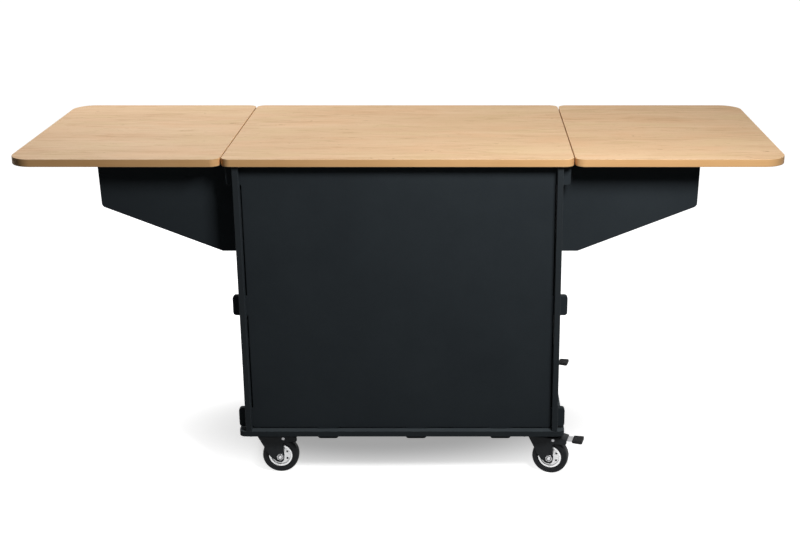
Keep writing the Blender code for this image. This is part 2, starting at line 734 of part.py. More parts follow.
def build_fork(name, swivel):
    """A pressed U of sheet steel: an arch section trimmed to the side outline."""
    outside = FORK_INSIDE / 2 + FORK_SHEET
    inside = FORK_INSIDE / 2
    foot = WHEEL_RADIUS - 2 * FORK_BOSS
    arch = [
        (-outside, foot, 0),
        (-inside, foot, 0),
        (-inside, CROWN_UNDER, FORK_BEND - FORK_SHEET),
        (inside, CROWN_UNDER, FORK_BEND - FORK_SHEET),
        (inside, foot, 0),
        (outside, foot, 0),
        (outside, CROWN_TOP, FORK_BEND),
        (-outside, CROWN_TOP, FORK_BEND),
    ]
    length = 2 * (FORK_NOSE + TRAIL + FORK_EAR)
    sheet = board_mesh(board(name, rounded(arch), length))
    sheet.transform(Matrix.Rotation(math.radians(90), 4, "X"))
    sheet.transform(Matrix.Rotation(math.radians(90), 4, "Z"))
    fork = add_part(sheet, name, BLACK_STEEL, swivel)
    axle_hole = circle(AXLE_RADIUS + PIN_CLEAR, PIN_SIDES, TRAIL, WHEEL_RADIUS)
    rivet_hole = circle(RIVET_RADIUS + PIN_CLEAR, PIN_SIDES, TRAIL + RIVET_BACK, TYRE_TOP + RIVET_ROOM)
    side = board(name + "_side", rounded(fork_side_corners()), 4 * outside, [axle_hole, rivet_hole])
    trim = add_cutter(board_mesh(side), swivel, rotation=FACING_FRONT)
    combine(fork, trim, "INTERSECT")
    hole = rods(name + "_kingpin_hole", KINGPIN_RADIUS + PIN_CLEAR, 4 * FORK_SHEET, RACE_STEPS)
    bore = add_cutter(hole, swivel, (0, 0, CROWN_TOP))
    combine(fork, bore, "DIFFERENCE")


def build_axle_bolt(name, swivel):
    """A bolt through fork and hub, with a hexagon at each end."""
    outside = FORK_INSIDE / 2 + FORK_SHEET + GAP
    across = (math.radians(90), 0, 0)
    place = (TRAIL, 0, WHEEL_RADIUS)
    shank = rods(name, AXLE_RADIUS, 2 * (outside + AXLE_NUT / 2), PIN_SIDES)
    bolt = add_part(shank, name, BRIGHT_STEEL, swivel, place, across)
    middle = outside + AXLE_NUT / 2
    nuts = rods(name + "_nuts", AXLE_NUT_RADIUS, AXLE_NUT, 6, ((0, 0, middle), (0, 0, -middle)))
    combine(bolt, add_cutter(nuts, swivel, place, across), "UNION")


def build_fork_rivet(name, swivel):
    """The rivet through the fork's ears, on which a brake pedal turns."""
    length = FORK_INSIDE + 2 * FORK_SHEET + 2 * GAP
    profile = pin_profile(length, RIVET_RADIUS, RIVET_HEAD, RIVET_HEAD_RADIUS)
    place = (TRAIL + RIVET_BACK, 0, TYRE_TOP + RIVET_ROOM)
    rivet = add_part(profile_mesh(name, profile, closed=False), name, BRIGHT_STEEL, swivel, place,
                     (math.radians(90), 0, 0))
    turn_profile(rivet, PIN_SIDES)


def build_tyre(name, axle):
    """A rubber ring whose flats, not its corners, lie at the wheel's radius."""
    radius = WHEEL_RADIUS / math.cos(math.pi / WHEEL_FLATS)
    half = WHEEL_WIDTH / 2
    inner = RIM_RADIUS + GAP
    shoulder = radius - TYRE_SHOULDER
    upper = [
        (inner, half - TYRE_SHOULDER / 2),
        ((inner + shoulder) / 2, half),
        (shoulder, half - TYRE_SHOULDER),
        (radius, half - 2.5 * TYRE_SHOULDER),
    ]
    profile = upper + [(at, -height) for at, height in reversed(upper)]
    tyre = add_part(profile_mesh(name, profile, closed=True), name, RUBBER, axle,
                    rotation=(math.radians(90), 0, 0))
    turn_profile(tyre, WHEEL_FLATS)


def build_rim(name, axle):
    """Lip, recessed web with small holes, and a hub that fills the fork."""
    half = RIM_WIDTH / 2
    web = half - RIM_RECESS
    hub = FORK_INSIDE / 2 - HUB_PLAY
    bore = AXLE_RADIUS + 2 * PIN_CLEAR
    upper = [
        (bore, hub),
        (HUB_RADIUS, hub),
        (HUB_RADIUS, web),
        (RIM_RADIUS - RIM_LIP - RIM_RECESS / 2, web),
        (RIM_RADIUS - RIM_LIP, half),
        (RIM_RADIUS, half),
    ]
    profile = upper + [(at, -height) for at, height in reversed(upper)]
    across = (math.radians(90), 0, 0)
    rim = add_part(profile_mesh(name, profile, closed=True), name, RIM_GREY, axle, rotation=across)
    turn_profile(rim, WHEEL_FLATS)
    turns = [2 * math.pi * hole / RIM_HOLES for hole in range(RIM_HOLES)]
    places = [(RIM_HOLE_RING * math.cos(turn), RIM_HOLE_RING * math.sin(turn), 0) for turn in turns]
    holes = rods(name + "_holes", RIM_HOLE_RADIUS, 2 * RIM_WIDTH, 8, places)
    combine(rim, add_cutter(holes, axle, rotation=across), "DIFFERENCE")


def build_pedal_arm(name, pivot):
    """A steel tongue with an eye round the rivet: local X runs from the rivet to the pad."""
    start = RIVET_RADIUS + 2 * PIN_CLEAR
    right = [
        (start, -PEDAL_WIDTH / 2, 0),
        (PAD_START - GAP, -PEDAL_WIDTH / 2, 0),
        (PAD_START - GAP, -PEDAL_TONGUE / 2, 0),
        (PEDAL_REACH, -PEDAL_TONGUE / 2, PAD_CORNER),
        (PEDAL_REACH, PEDAL_TONGUE / 2, PAD_CORNER),
        (PAD_START - GAP, PEDAL_TONGUE / 2, 0),
        (PAD_START - GAP, PEDAL_WIDTH / 2, 0),
        (start, PEDAL_WIDTH / 2, 0),
    ]
    arm = add_part(board_mesh(board(name, rounded(right), PEDAL_PLATE)), name, BRIGHT_STEEL, pivot)
    bore = circle(RIVET_RADIUS + PIN_CLEAR, PIN_SIDES)
    eye = board_mesh(board(name + "_eye", circle(PEDAL_EYE_RADIUS, PIN_SIDES), PEDAL_WIDTH, [bore]))
    combine(arm, add_cutter(eye, pivot, rotation=(math.radians(90), 0, 0)), "UNION")


def build_pedal_pad(name, pivot):
    """A rubber foot pad, flared outwards, pushed over the tongue."""
    end = PAD_START + PAD_LENGTH
    flared = PAD_WIDTH / 2 + PAD_FLARE
    corners = [
        (PAD_START, -PAD_WIDTH / 2, 0),
        (end, -flared, PAD_CORNER),
        (end, flared, PAD_CORNER),
        (PAD_START, PAD_WIDTH / 2, 0),
    ]
    pad = add_part(board_mesh(board(name, rounded(corners), PAD_THICK)), name, RUBBER, pivot)
    depth = PEDAL_REACH + GAP - PAD_START
    pocket = block(name + "_pocket",
                   (2 * depth, PEDAL_TONGUE + 2 * GAP, PEDAL_PLATE + 2 * GAP))
    combine(pad, add_cutter(pocket, pivot, (PAD_START, 0, 0)), "DIFFERENCE")


def build_castor(word, x_side, y_side, swivel_turn, braked):
    place = (
        x_side * (BASE_WIDTH / 2 - CASTOR_INSET_X),
        y_side * (BODY_DEPTH / 2 - CASTOR_INSET_Y),
        0,
    )
    swivel = add_empty(word + "_swivel", place, (0, 0, math.radians(swivel_turn)))
    axle = add_empty(word + "_axle_centre", (TRAIL, 0, WHEEL_RADIUS), parent=swivel)
    build_castor_plate(word + "_castor_plate", place)
    build_fork(word + "_fork", swivel)
    build_axle_bolt(word + "_axle_bolt", swivel)
    build_fork_rivet(word + "_fork_rivet", swivel)
    build_tyre(word + "_tyre", axle)
    build_rim(word + "_rim", axle)
    if braked:
        pivot = add_empty(word + "_pedal_pivot", (TRAIL + RIVET_BACK, 0, TYRE_TOP + RIVET_ROOM),
                          parent=swivel)
        build_pedal_arm(word + "_pedal_arm", pivot)
        build_pedal_pad(word + "_pedal_pad", pivot)


build_base_plate()
build_front_panel()
build_shelf()
build_rear_rail()
build_centre_top()
for side_word, side_sign in (("left", -1), ("right", 1)):
    build_side_panel(side_word + "_side_panel", side_sign)
    build_cleat(side_word + "_top_cleat", side_sign)
    build_wing_side(side_word, side_sign)
    build_bracket_side(side_word, side_sign)
for castor_word, castor_values in CASTORS.items():
    build_castor(castor_word, *castor_values)
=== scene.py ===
"""Looks of the coffee cart: its finishes, eased boards, turned castors, fasteners, light and camera.

Sizes are in metres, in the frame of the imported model: +Z up, front towards -Y, floor at Z = 0.
"""

import json
import math

import bmesh
import bpy
from mathutils import Matrix, Vector


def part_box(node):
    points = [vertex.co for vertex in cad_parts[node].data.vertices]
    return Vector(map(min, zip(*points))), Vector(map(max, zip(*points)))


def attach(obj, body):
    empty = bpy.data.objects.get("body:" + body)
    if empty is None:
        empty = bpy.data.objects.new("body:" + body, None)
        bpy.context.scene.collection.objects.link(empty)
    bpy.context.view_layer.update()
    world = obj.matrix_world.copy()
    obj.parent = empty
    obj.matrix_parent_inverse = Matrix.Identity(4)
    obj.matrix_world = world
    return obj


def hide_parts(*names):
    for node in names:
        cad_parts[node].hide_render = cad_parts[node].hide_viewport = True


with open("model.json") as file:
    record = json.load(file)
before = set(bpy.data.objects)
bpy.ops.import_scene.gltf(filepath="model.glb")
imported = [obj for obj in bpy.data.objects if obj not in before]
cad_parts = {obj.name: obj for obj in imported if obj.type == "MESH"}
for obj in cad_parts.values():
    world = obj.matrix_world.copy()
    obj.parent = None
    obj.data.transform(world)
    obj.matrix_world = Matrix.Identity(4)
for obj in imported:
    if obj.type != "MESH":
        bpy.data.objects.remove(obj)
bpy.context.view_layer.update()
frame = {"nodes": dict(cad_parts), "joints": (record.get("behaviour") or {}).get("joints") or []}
JOINTS = {joint["name"]: joint for joint in frame["joints"]}
CASTORS = ("front_left", "front_right", "rear_left", "rear_right")

# Camera, as the photograph's own lines place it
PHOTO_WIDTH = 800
FOCAL_PIXELS = 1333.8
AXIS_PIXEL = 462.7
SENSOR_MM = 36.0
CAMERA_PLACE = (0.1657, -3.6255, 1.7183)
CAMERA_TILT = 18.519

# Studio: soft boxes as (place, point aimed at, width, watts)
SOFT_BOXES = {
    "front_right": ((0.78, -1.47, 1.93), (0.0, -0.20, 0.50), 0.5, 33.0),
    "back_left": ((-1.20, 1.70, 2.60), (-0.1, 0.1, 0.9), 1.2, 56.0),
}
AMBIENT = 0.02
FLOOR_SIZE = 60
FLOOR_SHADE = 0.85
FLOOR_BOUNCE = 0.14
FLOOR_GLOW = 0.36
SHADOW_REACH = (0.95, 0.42)
SHADOW_MIDDLE = (-0.080, 0.032)
SHADOW_CORE = 0.35

# Shapes
MERGE = 1e-6
FLAT = math.radians(0.5)
SHARP = math.radians(35)
SHEET_SHARP = math.radians(50)
SHADED_SHARP = math.radians(40)
ALONG_AXLE = Matrix.Rotation(math.radians(90), 4, "X")
BOARD_EASE = 0.0009
TOP_EASE = 0.0012
SHEET_EASE = 0.0006
ARM_EASE = 0.0005
EASE_STEPS = 3
FEW_STEPS = 2
CORNER_STEPS = 14
TURN_STEPS = 96
SMALL_TURN_STEPS = 24
DOME_STEPS = 7
RIVET_STEPS = 6

# Front panel's gaps
FRONT_GAP = 0.004
FOOT_GAP = 0.003
STRIP = 0.004
STRIP_EASE = 0.0003
CONTACT = 0.0003

# Worktop
WING_CORNER = 0.060
SEAM_CORNER = 0.025
SEAM_SIDE = 0.5

# How much of a face's normal lies along an axis, for the face to count as facing that way
FACING = 0.9
SEAM_FACING = 0.99

# Castors, measured from the kingpin towards the axle and up from the floor
WHEEL_RADIUS = 0.050
TYRE_HALF = 0.015
TYRE_SEAT = 0.0003
TYRE_SHOULDER = 0.0052
TYRE_CROWN = 0.0006
SHOULDER_TURN = 75
SHOULDER_STEPS = 7
RIM_RADIUS = 0.032
RIM_HALF = 0.013
RIM_LIP = 0.0045
RIM_RECESS = 0.0035
RIM_HOLES = 6
RIM_HOLE_RADIUS = 0.003
RIM_HOLE_RING = 0.0205
HUB_RADIUS = 0.010
HUB_HALF = 0.0174
HUB_EASE = 0.001
HUB_FLARE = 0.0008
HUB_FOOT = 0.0018
HUB_FOOT_RISE = 0.0006
AXLE_BORE = 0.0056
NUT_RADIUS = 0.0095
NUT_THICK = 0.0046
NUT_EASE = 0.0007
NUT_TURN = 0.2
NUT_BEDDING = 0.0003
WASHER_RADIUS = 0.0088
WASHER_THICK = 0.0011
WASHER_EASE = 0.0003
BOLT_RADIUS = 0.0048
SHANK_RADIUS = 0.0046
BOLT_END = 0.0064
# Black ring on each nut: a lock nut's insert, partly painted shade round the bolt.
INSERT_SHADE_RADIUS = 0.0068
INSERT_SHADE_THICK = 0.0010
INSERT_SHADE_PROUD = 0.0003
THREAD_PITCH = 0.0009
THREAD_DEPTH = 0.0004
THREAD_CHAMFER = (0.0008, 0.0007)
RIVET_HEAD_RADIUS = 0.0045
RIVET_HEAD = 0.0016
RIVET_RADIUS = 0.0025
FORK_OUTSIDE = 0.0213
TAIL_START = (0.0560, 0.1122)
TAIL_END = (0.0830, 0.1064)
TAIL_SHEET = 0.0016
TAIL_MARGIN = 0.0005
PLATE_BOLTS = ((-0.040, -0.030), (0.040, -0.030), (0.040, 0.030), (-0.040, 0.030))

# Tyre's side wall, as (out from the bead, in from the widest place), and tread, as (in, off the middle)
SIDE_WALL = (
    (0.0, 0.0030),
    (0.0012, 0.0016),
    (0.0032, 0.0009),
    (0.0036, 0.0003),
    (0.0046, 0.0003),
    (0.0050, 0.0009),
    (0.0070, 0.0002),
)
TREAD = ((0.0002, 0.0060), (0.0, 0.0030), (0.0, 0.0004))

# Foot pads
PAD_EASE = 0.0016
PAD_BORDER = 0.0022
DISH_WALL = 0.0006
DISH_DEPTH = 0.0011
RIBS = 5
RIB_WIDTH = 0.0018
RIB_HEIGHT = 0.0014
RIB_MARGIN = 0.00425
RIB_EASE = 0.0004
RIB_ROOM = 1.2

# Fasteners
HEX_RADIUS = 0.0072
HEX_HEAD = 0.0042
FLANGE_RADIUS = 0.0085
FLANGE = 0.0009
FLANGE_EASE = 0.0004
DOME_RADIUS = 0.0090
DOME_HEAD = 0.0035
PLATE_THICK = 0.003
LEAF = 0.0015
LEAF_OUT = 0.0018
SCREW_RADIUS = 0.0036
SCREW_EASE = 0.0004
SCREW_PROUD = 0.0004
SCREW_RECESS = 0.0009
SCREW_SINK = 0.0012
SCREW_TURN = 1.7
RECESS_ARM = 0.60 * SCREW_RADIUS
RECESS_HALF = 0.14 * SCREW_RADIUS
WING_SCREWS = 7
WING_SCREW_PITCH = 0.070
WING_SCREW_OUT = 0.0165
BRACKET_SCREWS = 5
BRACKET_SCREW_PITCH = 0.040
BRACKET_SCREW_OUT = 0.0145
CLEAT_SCREWS = 4
CLEAT_SCREW_PITCH = 0.150


class Finish:
    """One finish of the cart as a node material on Object coordinates."""

    MIX_INPUTS = (0, 6, 7)
    MIX_OUTPUT = 2

    def __init__(self, name, colour, roughness, metallic=0.0):
        self.material = bpy.data.materials.new(name)
        self.material.use_nodes = True
        self.nodes = self.material.node_tree.nodes
        self.links = self.material.node_tree.links
        self.shader = self.nodes["Principled BSDF"]
        self.set("Base Color", (*colour, 1.0))
        self.set("Roughness", roughness)
        self.set("Metallic", metallic)
        self.place = self.nodes.new("ShaderNodeTexCoord").outputs["Object"]

    def set(self, socket, value):
        self.shader.inputs[socket].default_value = value

    def feed(self, socket, output):
        self.links.new(output, self.shader.inputs[socket])

    def stretch(self, scale, shift=(0, 0, 0), turn=(0, 0, 0)):
        """The coordinates, stretched along the axes."""
        mapping = self.nodes.new("ShaderNodeMapping")
        mapping.inputs["Location"].default_value = shift
        mapping.inputs["Rotation"].default_value = turn
        mapping.inputs["Scale"].default_value = scale
        self.links.new(self.place, mapping.inputs["Vector"])
        return mapping.outputs["Vector"]

    def noise(self, vector, scale, detail=2.0, roughness=0.5, distortion=0.0):
        node = self.nodes.new("ShaderNodeTexNoise")
        node.inputs["Scale"].default_value = scale
        node.inputs["Detail"].default_value = detail
        node.inputs["Roughness"].default_value = roughness
        node.inputs["Distortion"].default_value = distortion
        self.links.new(vector, node.inputs["Vector"])
        return node.outputs["Fac"]

    def bands(self, vector, scale, distortion, detail_scale):
        """Lines across the local Y axis, as in flat-sawn wood."""
        node = self.nodes.new("ShaderNodeTexWave")
        node.wave_type = "BANDS"
        node.bands_direction = "Y"
        node.wave_profile = "SAW"
        node.inputs["Scale"].default_value = scale
        node.inputs["Distortion"].default_value = distortion
        node.inputs["Detail"].default_value = 2.0
        node.inputs["Detail Scale"].default_value = detail_scale
        self.links.new(vector, node.inputs["Vector"])
        return node.outputs["Fac"]

    def ramp(self, value, stops):
        """Colours along a value, from (position, colour) pairs."""
        node = self.nodes.new("ShaderNodeValToRGB")
        elements = node.color_ramp.elements
        while len(elements) < len(stops):
            elements.new(0.5)
        for element, (position, colour) in zip(elements, stops):
            element.position = position
            element.color = (*colour, 1.0)
        self.links.new(value, node.inputs["Fac"])
        return node.outputs["Color"]

    def span(self, value, start, end, low, high):
        """A value between start and end brought between low and high."""
        node = self.nodes.new("ShaderNodeMapRange")
        node.inputs["From Min"].default_value = start
        node.inputs["From Max"].default_value = end
        node.inputs["To Min"].default_value = low
        node.inputs["To Max"].default_value = high
        self.links.new(value, node.inputs["Value"])
        return node.outputs["Result"]

    def blend(self, factor, first, second, mode="MIX"):
        """Two colours mixed by a factor that is a number or an output."""
        node = self.nodes.new("ShaderNodeMix")
        node.data_type = "RGBA"
        node.blend_type = mode
        for socket, value in zip(self.MIX_INPUTS, (factor, first, second)):
            if isinstance(value, (int, float)):
                node.inputs[socket].default_value = value
            elif isinstance(value, tuple):
                node.inputs[socket].default_value = (*value, 1.0)
            else:
                self.links.new(value, node.inputs[socket])
        return node.outputs[self.MIX_OUTPUT]

    def bump(self, *layers):
        """Bumps laid over each other, from (height output, depth, strength)."""
        below = None
        for height, depth, strength in layers:
            node = self.nodes.new("ShaderNodeBump")
            node.inputs["Strength"].default_value = strength
            node.inputs["Distance"].default_value = depth
            self.links.new(height, node.inputs["Height"])
            if below is not None:
                self.links.new(below, node.inputs["Normal"])
            below = node.outputs["Normal"]
        self.feed("Normal", below)


# Finishes


def charcoal_face():
    """Matt charcoal laminate with a fine pearl texture and faint handling marks."""
    finish = Finish("charcoal_face", (0.0296, 0.0362, 0.0416), 0.5)
    finish.set("Specular IOR Level", 0.02)
    clouds = finish.noise(finish.place, 5.0, 4.0, 0.6)
    speckle = finish.noise(finish.place, 1500.0, 1.0)
    tone = finish.ramp(clouds, [(0.30, (0.0296, 0.0362, 0.0416)), (0.70, (0.0349, 0.0426, 0.0485))])
    grains = finish.ramp(speckle, [(0.35, (0.72, 0.72, 0.72)), (0.65, (1.0, 1.0, 1.0))])
    finish.feed("Base Color", finish.blend(0.6, tone, grains, "MULTIPLY"))
    wipes = finish.noise(finish.stretch((3.0, 3.0, 9.0)), 4.0, 5.0, 0.65)
    finish.feed("Roughness", finish.span(wipes, 0.3, 0.7, 0.42, 0.56))
    pearl = finish.noise(finish.place, 650.0, 2.0)
    finish.bump((pearl, 0.00025, 0.16))
    return finish.material


def charcoal_level_painted_light():
    """The same laminate painted lighter where it lies level, as painted light for the light that level
    faces catch from above, with faint mottling.
    """
    # A lighter copy of the laminate: painted light on level faces.
    finish = Finish("charcoal_level_painted_light", (0.060, 0.073, 0.081), 0.6)
    finish.set("Specular IOR Level", 0.03)
    mottle = finish.noise(finish.place, 9.0, 6.0, 0.68)
    speckle = finish.noise(finish.place, 1300.0, 2.0)
    tone = finish.ramp(mottle, [(0.30, (0.060, 0.073, 0.081)), (0.70, (0.080, 0.094, 0.103))])
    grains = finish.ramp(speckle, [(0.35, (0.75, 0.75, 0.75)), (0.65, (1.0, 1.0, 1.0))])
    finish.feed("Base Color", finish.blend(0.6, tone, grains, "MULTIPLY"))
    finish.feed("Roughness", finish.span(mottle, 0.3, 0.7, 0.52, 0.68))
    finish.bump((speckle, 0.0002, 0.14))
    return finish.material


def charcoal_edge():
    """Machined edge of the same board: fine saw lines and a slightly greyer tone."""
    finish = Finish("charcoal_edge", (0.026, 0.0315, 0.036), 0.55)
    finish.set("Specular IOR Level", 0.03)
    fibres = finish.noise(finish.place, 900.0, 3.0, 0.6)
    finish.feed("Base Color", finish.ramp(
        fibres, [(0.32, (0.0255, 0.0305, 0.0345)), (0.70, (0.0325, 0.0390, 0.0435))]))
    finish.feed("Roughness", finish.span(fibres, 0.3, 0.7, 0.5, 0.64))
    finish.bump((fibres, 0.0003, 0.2))
    return finish.material


def charcoal_arris():
    """Eased edges, where handling polishes the board; they are painted lighter in places, partly as wear
    and partly as a painted highlight along the arris.
    """
    finish = Finish("charcoal_arris", (0.030, 0.036, 0.040), 0.4)
    finish.set("Specular IOR Level", 0.08)
    wear_and_highlight = finish.noise(finish.place, 38.0, 6.0, 0.7)
    # Lighter places: partly wear, partly a painted highlight on the eased edge.
    finish.feed("Base Color", finish.ramp(
        wear_and_highlight, [(0.50, (0.0270, 0.0325, 0.0365)), (0.68, (0.050, 0.057, 0.062))]))
    finish.feed("Roughness", finish.span(wear_and_highlight, 0.4, 0.7, 0.38, 0.55))
    return finish.material


def oak_face(name, shift, turn):
    """Light satin oak along X: tone bands, blotches, streaks, flamed places, small knots and pores."""
    finish = Finish(name, (0.74, 0.50, 0.30), 0.6)
    finish.set("Specular IOR Level", 0.05)

    def along(length, across):
        """Coordinates that follow the grain of this board."""
        return finish.stretch((length, across, across), shift, (0, 0, turn))

    tone = finish.noise(along(2.2, 13.2), 1.0, 5.0, 0.55, 0.4)
    colour = finish.ramp(tone, [
        (0.30, (0.730, 0.490, 0.290)),
        (0.52, (0.770, 0.530, 0.322)),
        (0.72, (0.800, 0.562, 0.350)),
    ])
    blotches = finish.noise(along(4.5, 11.0), 1.0, 2.0, 0.5, 0.5)
    cast = finish.ramp(blotches, [
        (0.34, (1.0, 0.960, 0.935)),
        (0.50, (1.0, 1.0, 1.0)),
        (0.66, (0.975, 0.995, 0.955)),
    ])
    colour = finish.blend(0.9, colour, cast, "MULTIPLY")
    streaks = finish.noise(along(8.5, 58.0), 1.0, 5.0, 0.6, 1.0)
    grain = finish.ramp(streaks, [
        (0.25, (0.83, 0.785, 0.735)),
        (0.47, (1.0, 1.0, 1.0)),
        (0.75, (1.02, 1.02, 1.015)),
    ])
    colour = finish.blend(0.9, colour, grain, "MULTIPLY")
    rings = finish.bands(along(1.3, 8.0), 2.2, 11.0, 1.4)
    flames = finish.ramp(rings, [
        (0.0, (1.0, 1.0, 1.0)),
        (0.60, (0.98, 0.97, 0.96)),
        (0.92, (0.84, 0.78, 0.71)),
        (1.0, (1.0, 1.0, 1.0)),
    ])
    places = finish.noise(along(2.4, 7.0), 1.0, 1.0, 0.5)
    flamed = finish.span(places, 0.48, 0.64, 0.12, 0.85)
    colour = finish.blend(flamed, colour, flames, "MULTIPLY")
    specks = finish.noise(along(26.0, 80.0), 1.0, 3.0, 0.55, 1.2)
    knots = finish.ramp(specks, [(0.25, (0.46, 0.35, 0.26)), (0.305, (1.0, 1.0, 1.0))])
    colour = finish.blend(0.85, colour, knots, "MULTIPLY")
    fibres = finish.noise(finish.stretch((9.0, 520.0, 520.0), shift), 1.0, 3.0, 0.6)
    fine = finish.ramp(fibres, [(0.30, (0.95, 0.94, 0.925)), (0.60, (1.0, 1.0, 1.0))])
    colour = finish.blend(0.8, colour, fine, "MULTIPLY")
    pores = finish.noise(along(75.0, 820.0), 1.0, 2.0, 0.4)
    flecks = finish.ramp(pores, [(0.26, (0.68, 0.60, 0.52)), (0.33, (1.0, 1.0, 1.0))])
    finish.feed("Base Color", finish.blend(0.7, colour, flecks, "MULTIPLY"))
    finish.feed("Roughness", finish.span(streaks, 0.3, 0.7, 0.66, 0.54))
    finish.bump((fibres, 0.0002, 0.12), (pores, 0.0003, 0.10))
    return finish.material


def oak_edge():
    """Warm edge band round the tops, with faint lines along its length."""
    finish = Finish("oak_edge", (0.74, 0.43, 0.19), 0.5)
    finish.set("Specular IOR Level", 0.08)
    lines = finish.noise(finish.stretch((6.0, 6.0, 620.0)), 1.0, 4.0, 0.6)
    tone = finish.noise(finish.stretch((7.0, 7.0, 2.0)), 1.0, 3.0)
    colour = finish.ramp(tone, [(0.30, (0.735, 0.425, 0.185)), (0.70, (0.800, 0.480, 0.222))])
    shade = finish.ramp(lines, [(0.32, (0.90, 0.86, 0.81)), (0.66, (1.0, 1.0, 1.0))])
    finish.feed("Base Color", finish.blend(0.7, colour, shade, "MULTIPLY"))
    finish.feed("Roughness", finish.span(lines, 0.3, 0.7, 0.48, 0.38))
    finish.bump((lines, 0.0002, 0.10))
    return finish.material


def oak_arris():
    """Sanded arris between face and edge band, a little paler than either."""
    finish = Finish("oak_arris", (0.74, 0.48, 0.26), 0.5)
    finish.set("Specular IOR Level", 0.10)
    tone = finish.noise(finish.stretch((9.0, 9.0, 60.0)), 1.0, 4.0, 0.6)
    finish.feed("Base Color", finish.ramp(
        tone, [(0.30, (0.71, 0.455, 0.240)), (0.70, (0.785, 0.525, 0.300))]))
    finish.feed("Roughness", finish.span(tone, 0.3, 0.7, 0.5, 0.4))
    return finish.material


def felt():
    """Black needle felt with loose lighter fibres."""
    finish = Finish("felt", (0.018, 0.018, 0.019), 0.95)
    finish.set("Specular IOR Level", 0.1)
    finish.set("Sheen Weight", 0.25)
    fluff = finish.noise(finish.place, 900.0, 5.0, 0.8, 1.2)
    finish.feed("Base Color", finish.ramp(
        fluff, [(0.40, (0.012, 0.012, 0.013)), (0.75, (0.045, 0.045, 0.047))]))
    finish.bump((fluff, 0.0008, 0.6))
    return finish.material


def steel(name, colour, roughness, grain):
    """Plated steel: a slight cast in the plating, rolling lines and small scratches."""
    finish = Finish(name, colour, roughness, 1.0)
    cast = finish.noise(finish.place, 60.0, 3.0)
    pale = tuple(min(1.0, part * 1.05) for part in colour)
    deep = tuple(part * 0.90 for part in colour)
    finish.feed("Base Color", finish.ramp(cast, [(0.32, deep), (0.68, pale)]))
    rolling = finish.noise(finish.stretch(grain), 1.0, 3.0, 0.55)
    finish.feed("Roughness", finish.span(rolling, 0.3, 0.7, roughness * 0.85, roughness * 1.2))
    finish.bump((rolling, 0.00004, 0.10))
    return finish.material


def powder_coat():
    """Black powder coat with a fine orange-peel skin."""
    finish = Finish("powder_coat", (0.024, 0.0265, 0.029), 0.42)
    finish.set("Specular IOR Level", 0.10)
    dust = finish.noise(finish.place, 45.0, 5.0, 0.7)
    finish.feed("Base Color", finish.ramp(
        dust, [(0.40, (0.0225, 0.0250, 0.0275)), (0.80, (0.034, 0.0365, 0.039))]))
    peel = finish.noise(finish.place, 800.0, 1.0)
    finish.feed("Roughness", finish.span(dust, 0.3, 0.7, 0.36, 0.50))
    finish.bump((peel, 0.0003, 0.22))
    return finish.material


def tyre_rubber():
    """Matt black rubber, dusty in patches."""
    finish = Finish("tyre_rubber", (0.018, 0.0195, 0.022), 0.5)
    finish.set("Specular IOR Level", 0.12)
    dust = finish.noise(finish.place, 70.0, 6.0, 0.72)
    finish.feed("Base Color", finish.ramp(
        dust, [(0.42, (0.0165, 0.0180, 0.0205)), (0.72, (0.032, 0.033, 0.034))]))
    finish.feed("Roughness", finish.span(dust, 0.35, 0.7, 0.42, 0.66))
    skin = finish.noise(finish.place, 1400.0, 2.0)
    finish.bump((skin, 0.0002, 0.2))
    return finish.material


def rim_plastic(name, shade_gain):
    """Silver-lacquered moulding with a satin skin and faint grime; a gain below one gives a darker copy,
    as painted shade.
    """
    low, middle, high = [
        tuple(shade_gain * part for part in colour)
        for colour in ((0.76, 0.765, 0.77), (0.88, 0.885, 0.89), (0.92, 0.925, 0.93))]
    finish = Finish(name, middle, 0.32, 0.6)
    grime = finish.noise(finish.place, 90.0, 5.0, 0.7)
    finish.feed("Base Color", finish.ramp(grime, [(0.30, low), (0.52, middle), (0.75, high)]))
    skin = finish.noise(finish.place, 1200.0, 1.0)
    finish.feed("Roughness", finish.span(grime, 0.3, 0.7, 0.42, 0.26))
    finish.bump((skin, 0.00015, 0.15))
    return finish.material


def pad_rubber():
    """Moulded rubber of the foot pads, scuffed grey where it is stepped on."""
    finish = Finish("pad_rubber", (0.022, 0.023, 0.025), 0.6)
    finish.set("Specular IOR Level", 0.12)
    scuffs = finish.noise(finish.stretch((40.0, 90.0, 40.0)), 1.0, 6.0, 0.75)
    finish.feed("Base Color", finish.ramp(
        scuffs, [(0.42, (0.020, 0.021, 0.023)), (0.75, (0.060, 0.060, 0.060))]))
    finish.feed("Roughness", finish.span(scuffs, 0.3, 0.7, 0.5, 0.75))
    grain = finish.noise(finish.place, 1500.0, 2.0)
    finish.bump((grain, 0.0002, 0.25))
    return finish.material


BOARD_FINISHES = (charcoal_face(), charcoal_edge(), charcoal_arris())
# Level boards take the laminate painted lighter, as painted light from above.
LIT_LEVEL_FINISHES = (charcoal_level_painted_light(),) + BOARD_FINISHES[1:]
OAK_EDGE = oak_edge()
OAK_ARRIS = oak_arris()
FELT = felt()
HINGE_STEEL = steel("hinge_steel", (0.34, 0.34, 0.35), 0.42, (60.0, 60.0, 900.0))
BRIGHT_STEEL = steel("bright_steel", (0.50, 0.50, 0.51), 0.30, (90.0, 90.0, 1400.0))
DULL_STEEL = steel("dull_steel", (0.27, 0.27, 0.28), 0.38, (90.0, 90.0, 1400.0))
BLACK_STEEL = powder_coat()
TYRE = tyre_rubber()
RIM = rim_plastic("rim_plastic", 1.0)
# The web's darker copy is painted shade in its recess.
RIM_WEB_SHADED = rim_plastic("rim_web_painted_shade", 0.80)
PAD = pad_rubber()


# Shape tools


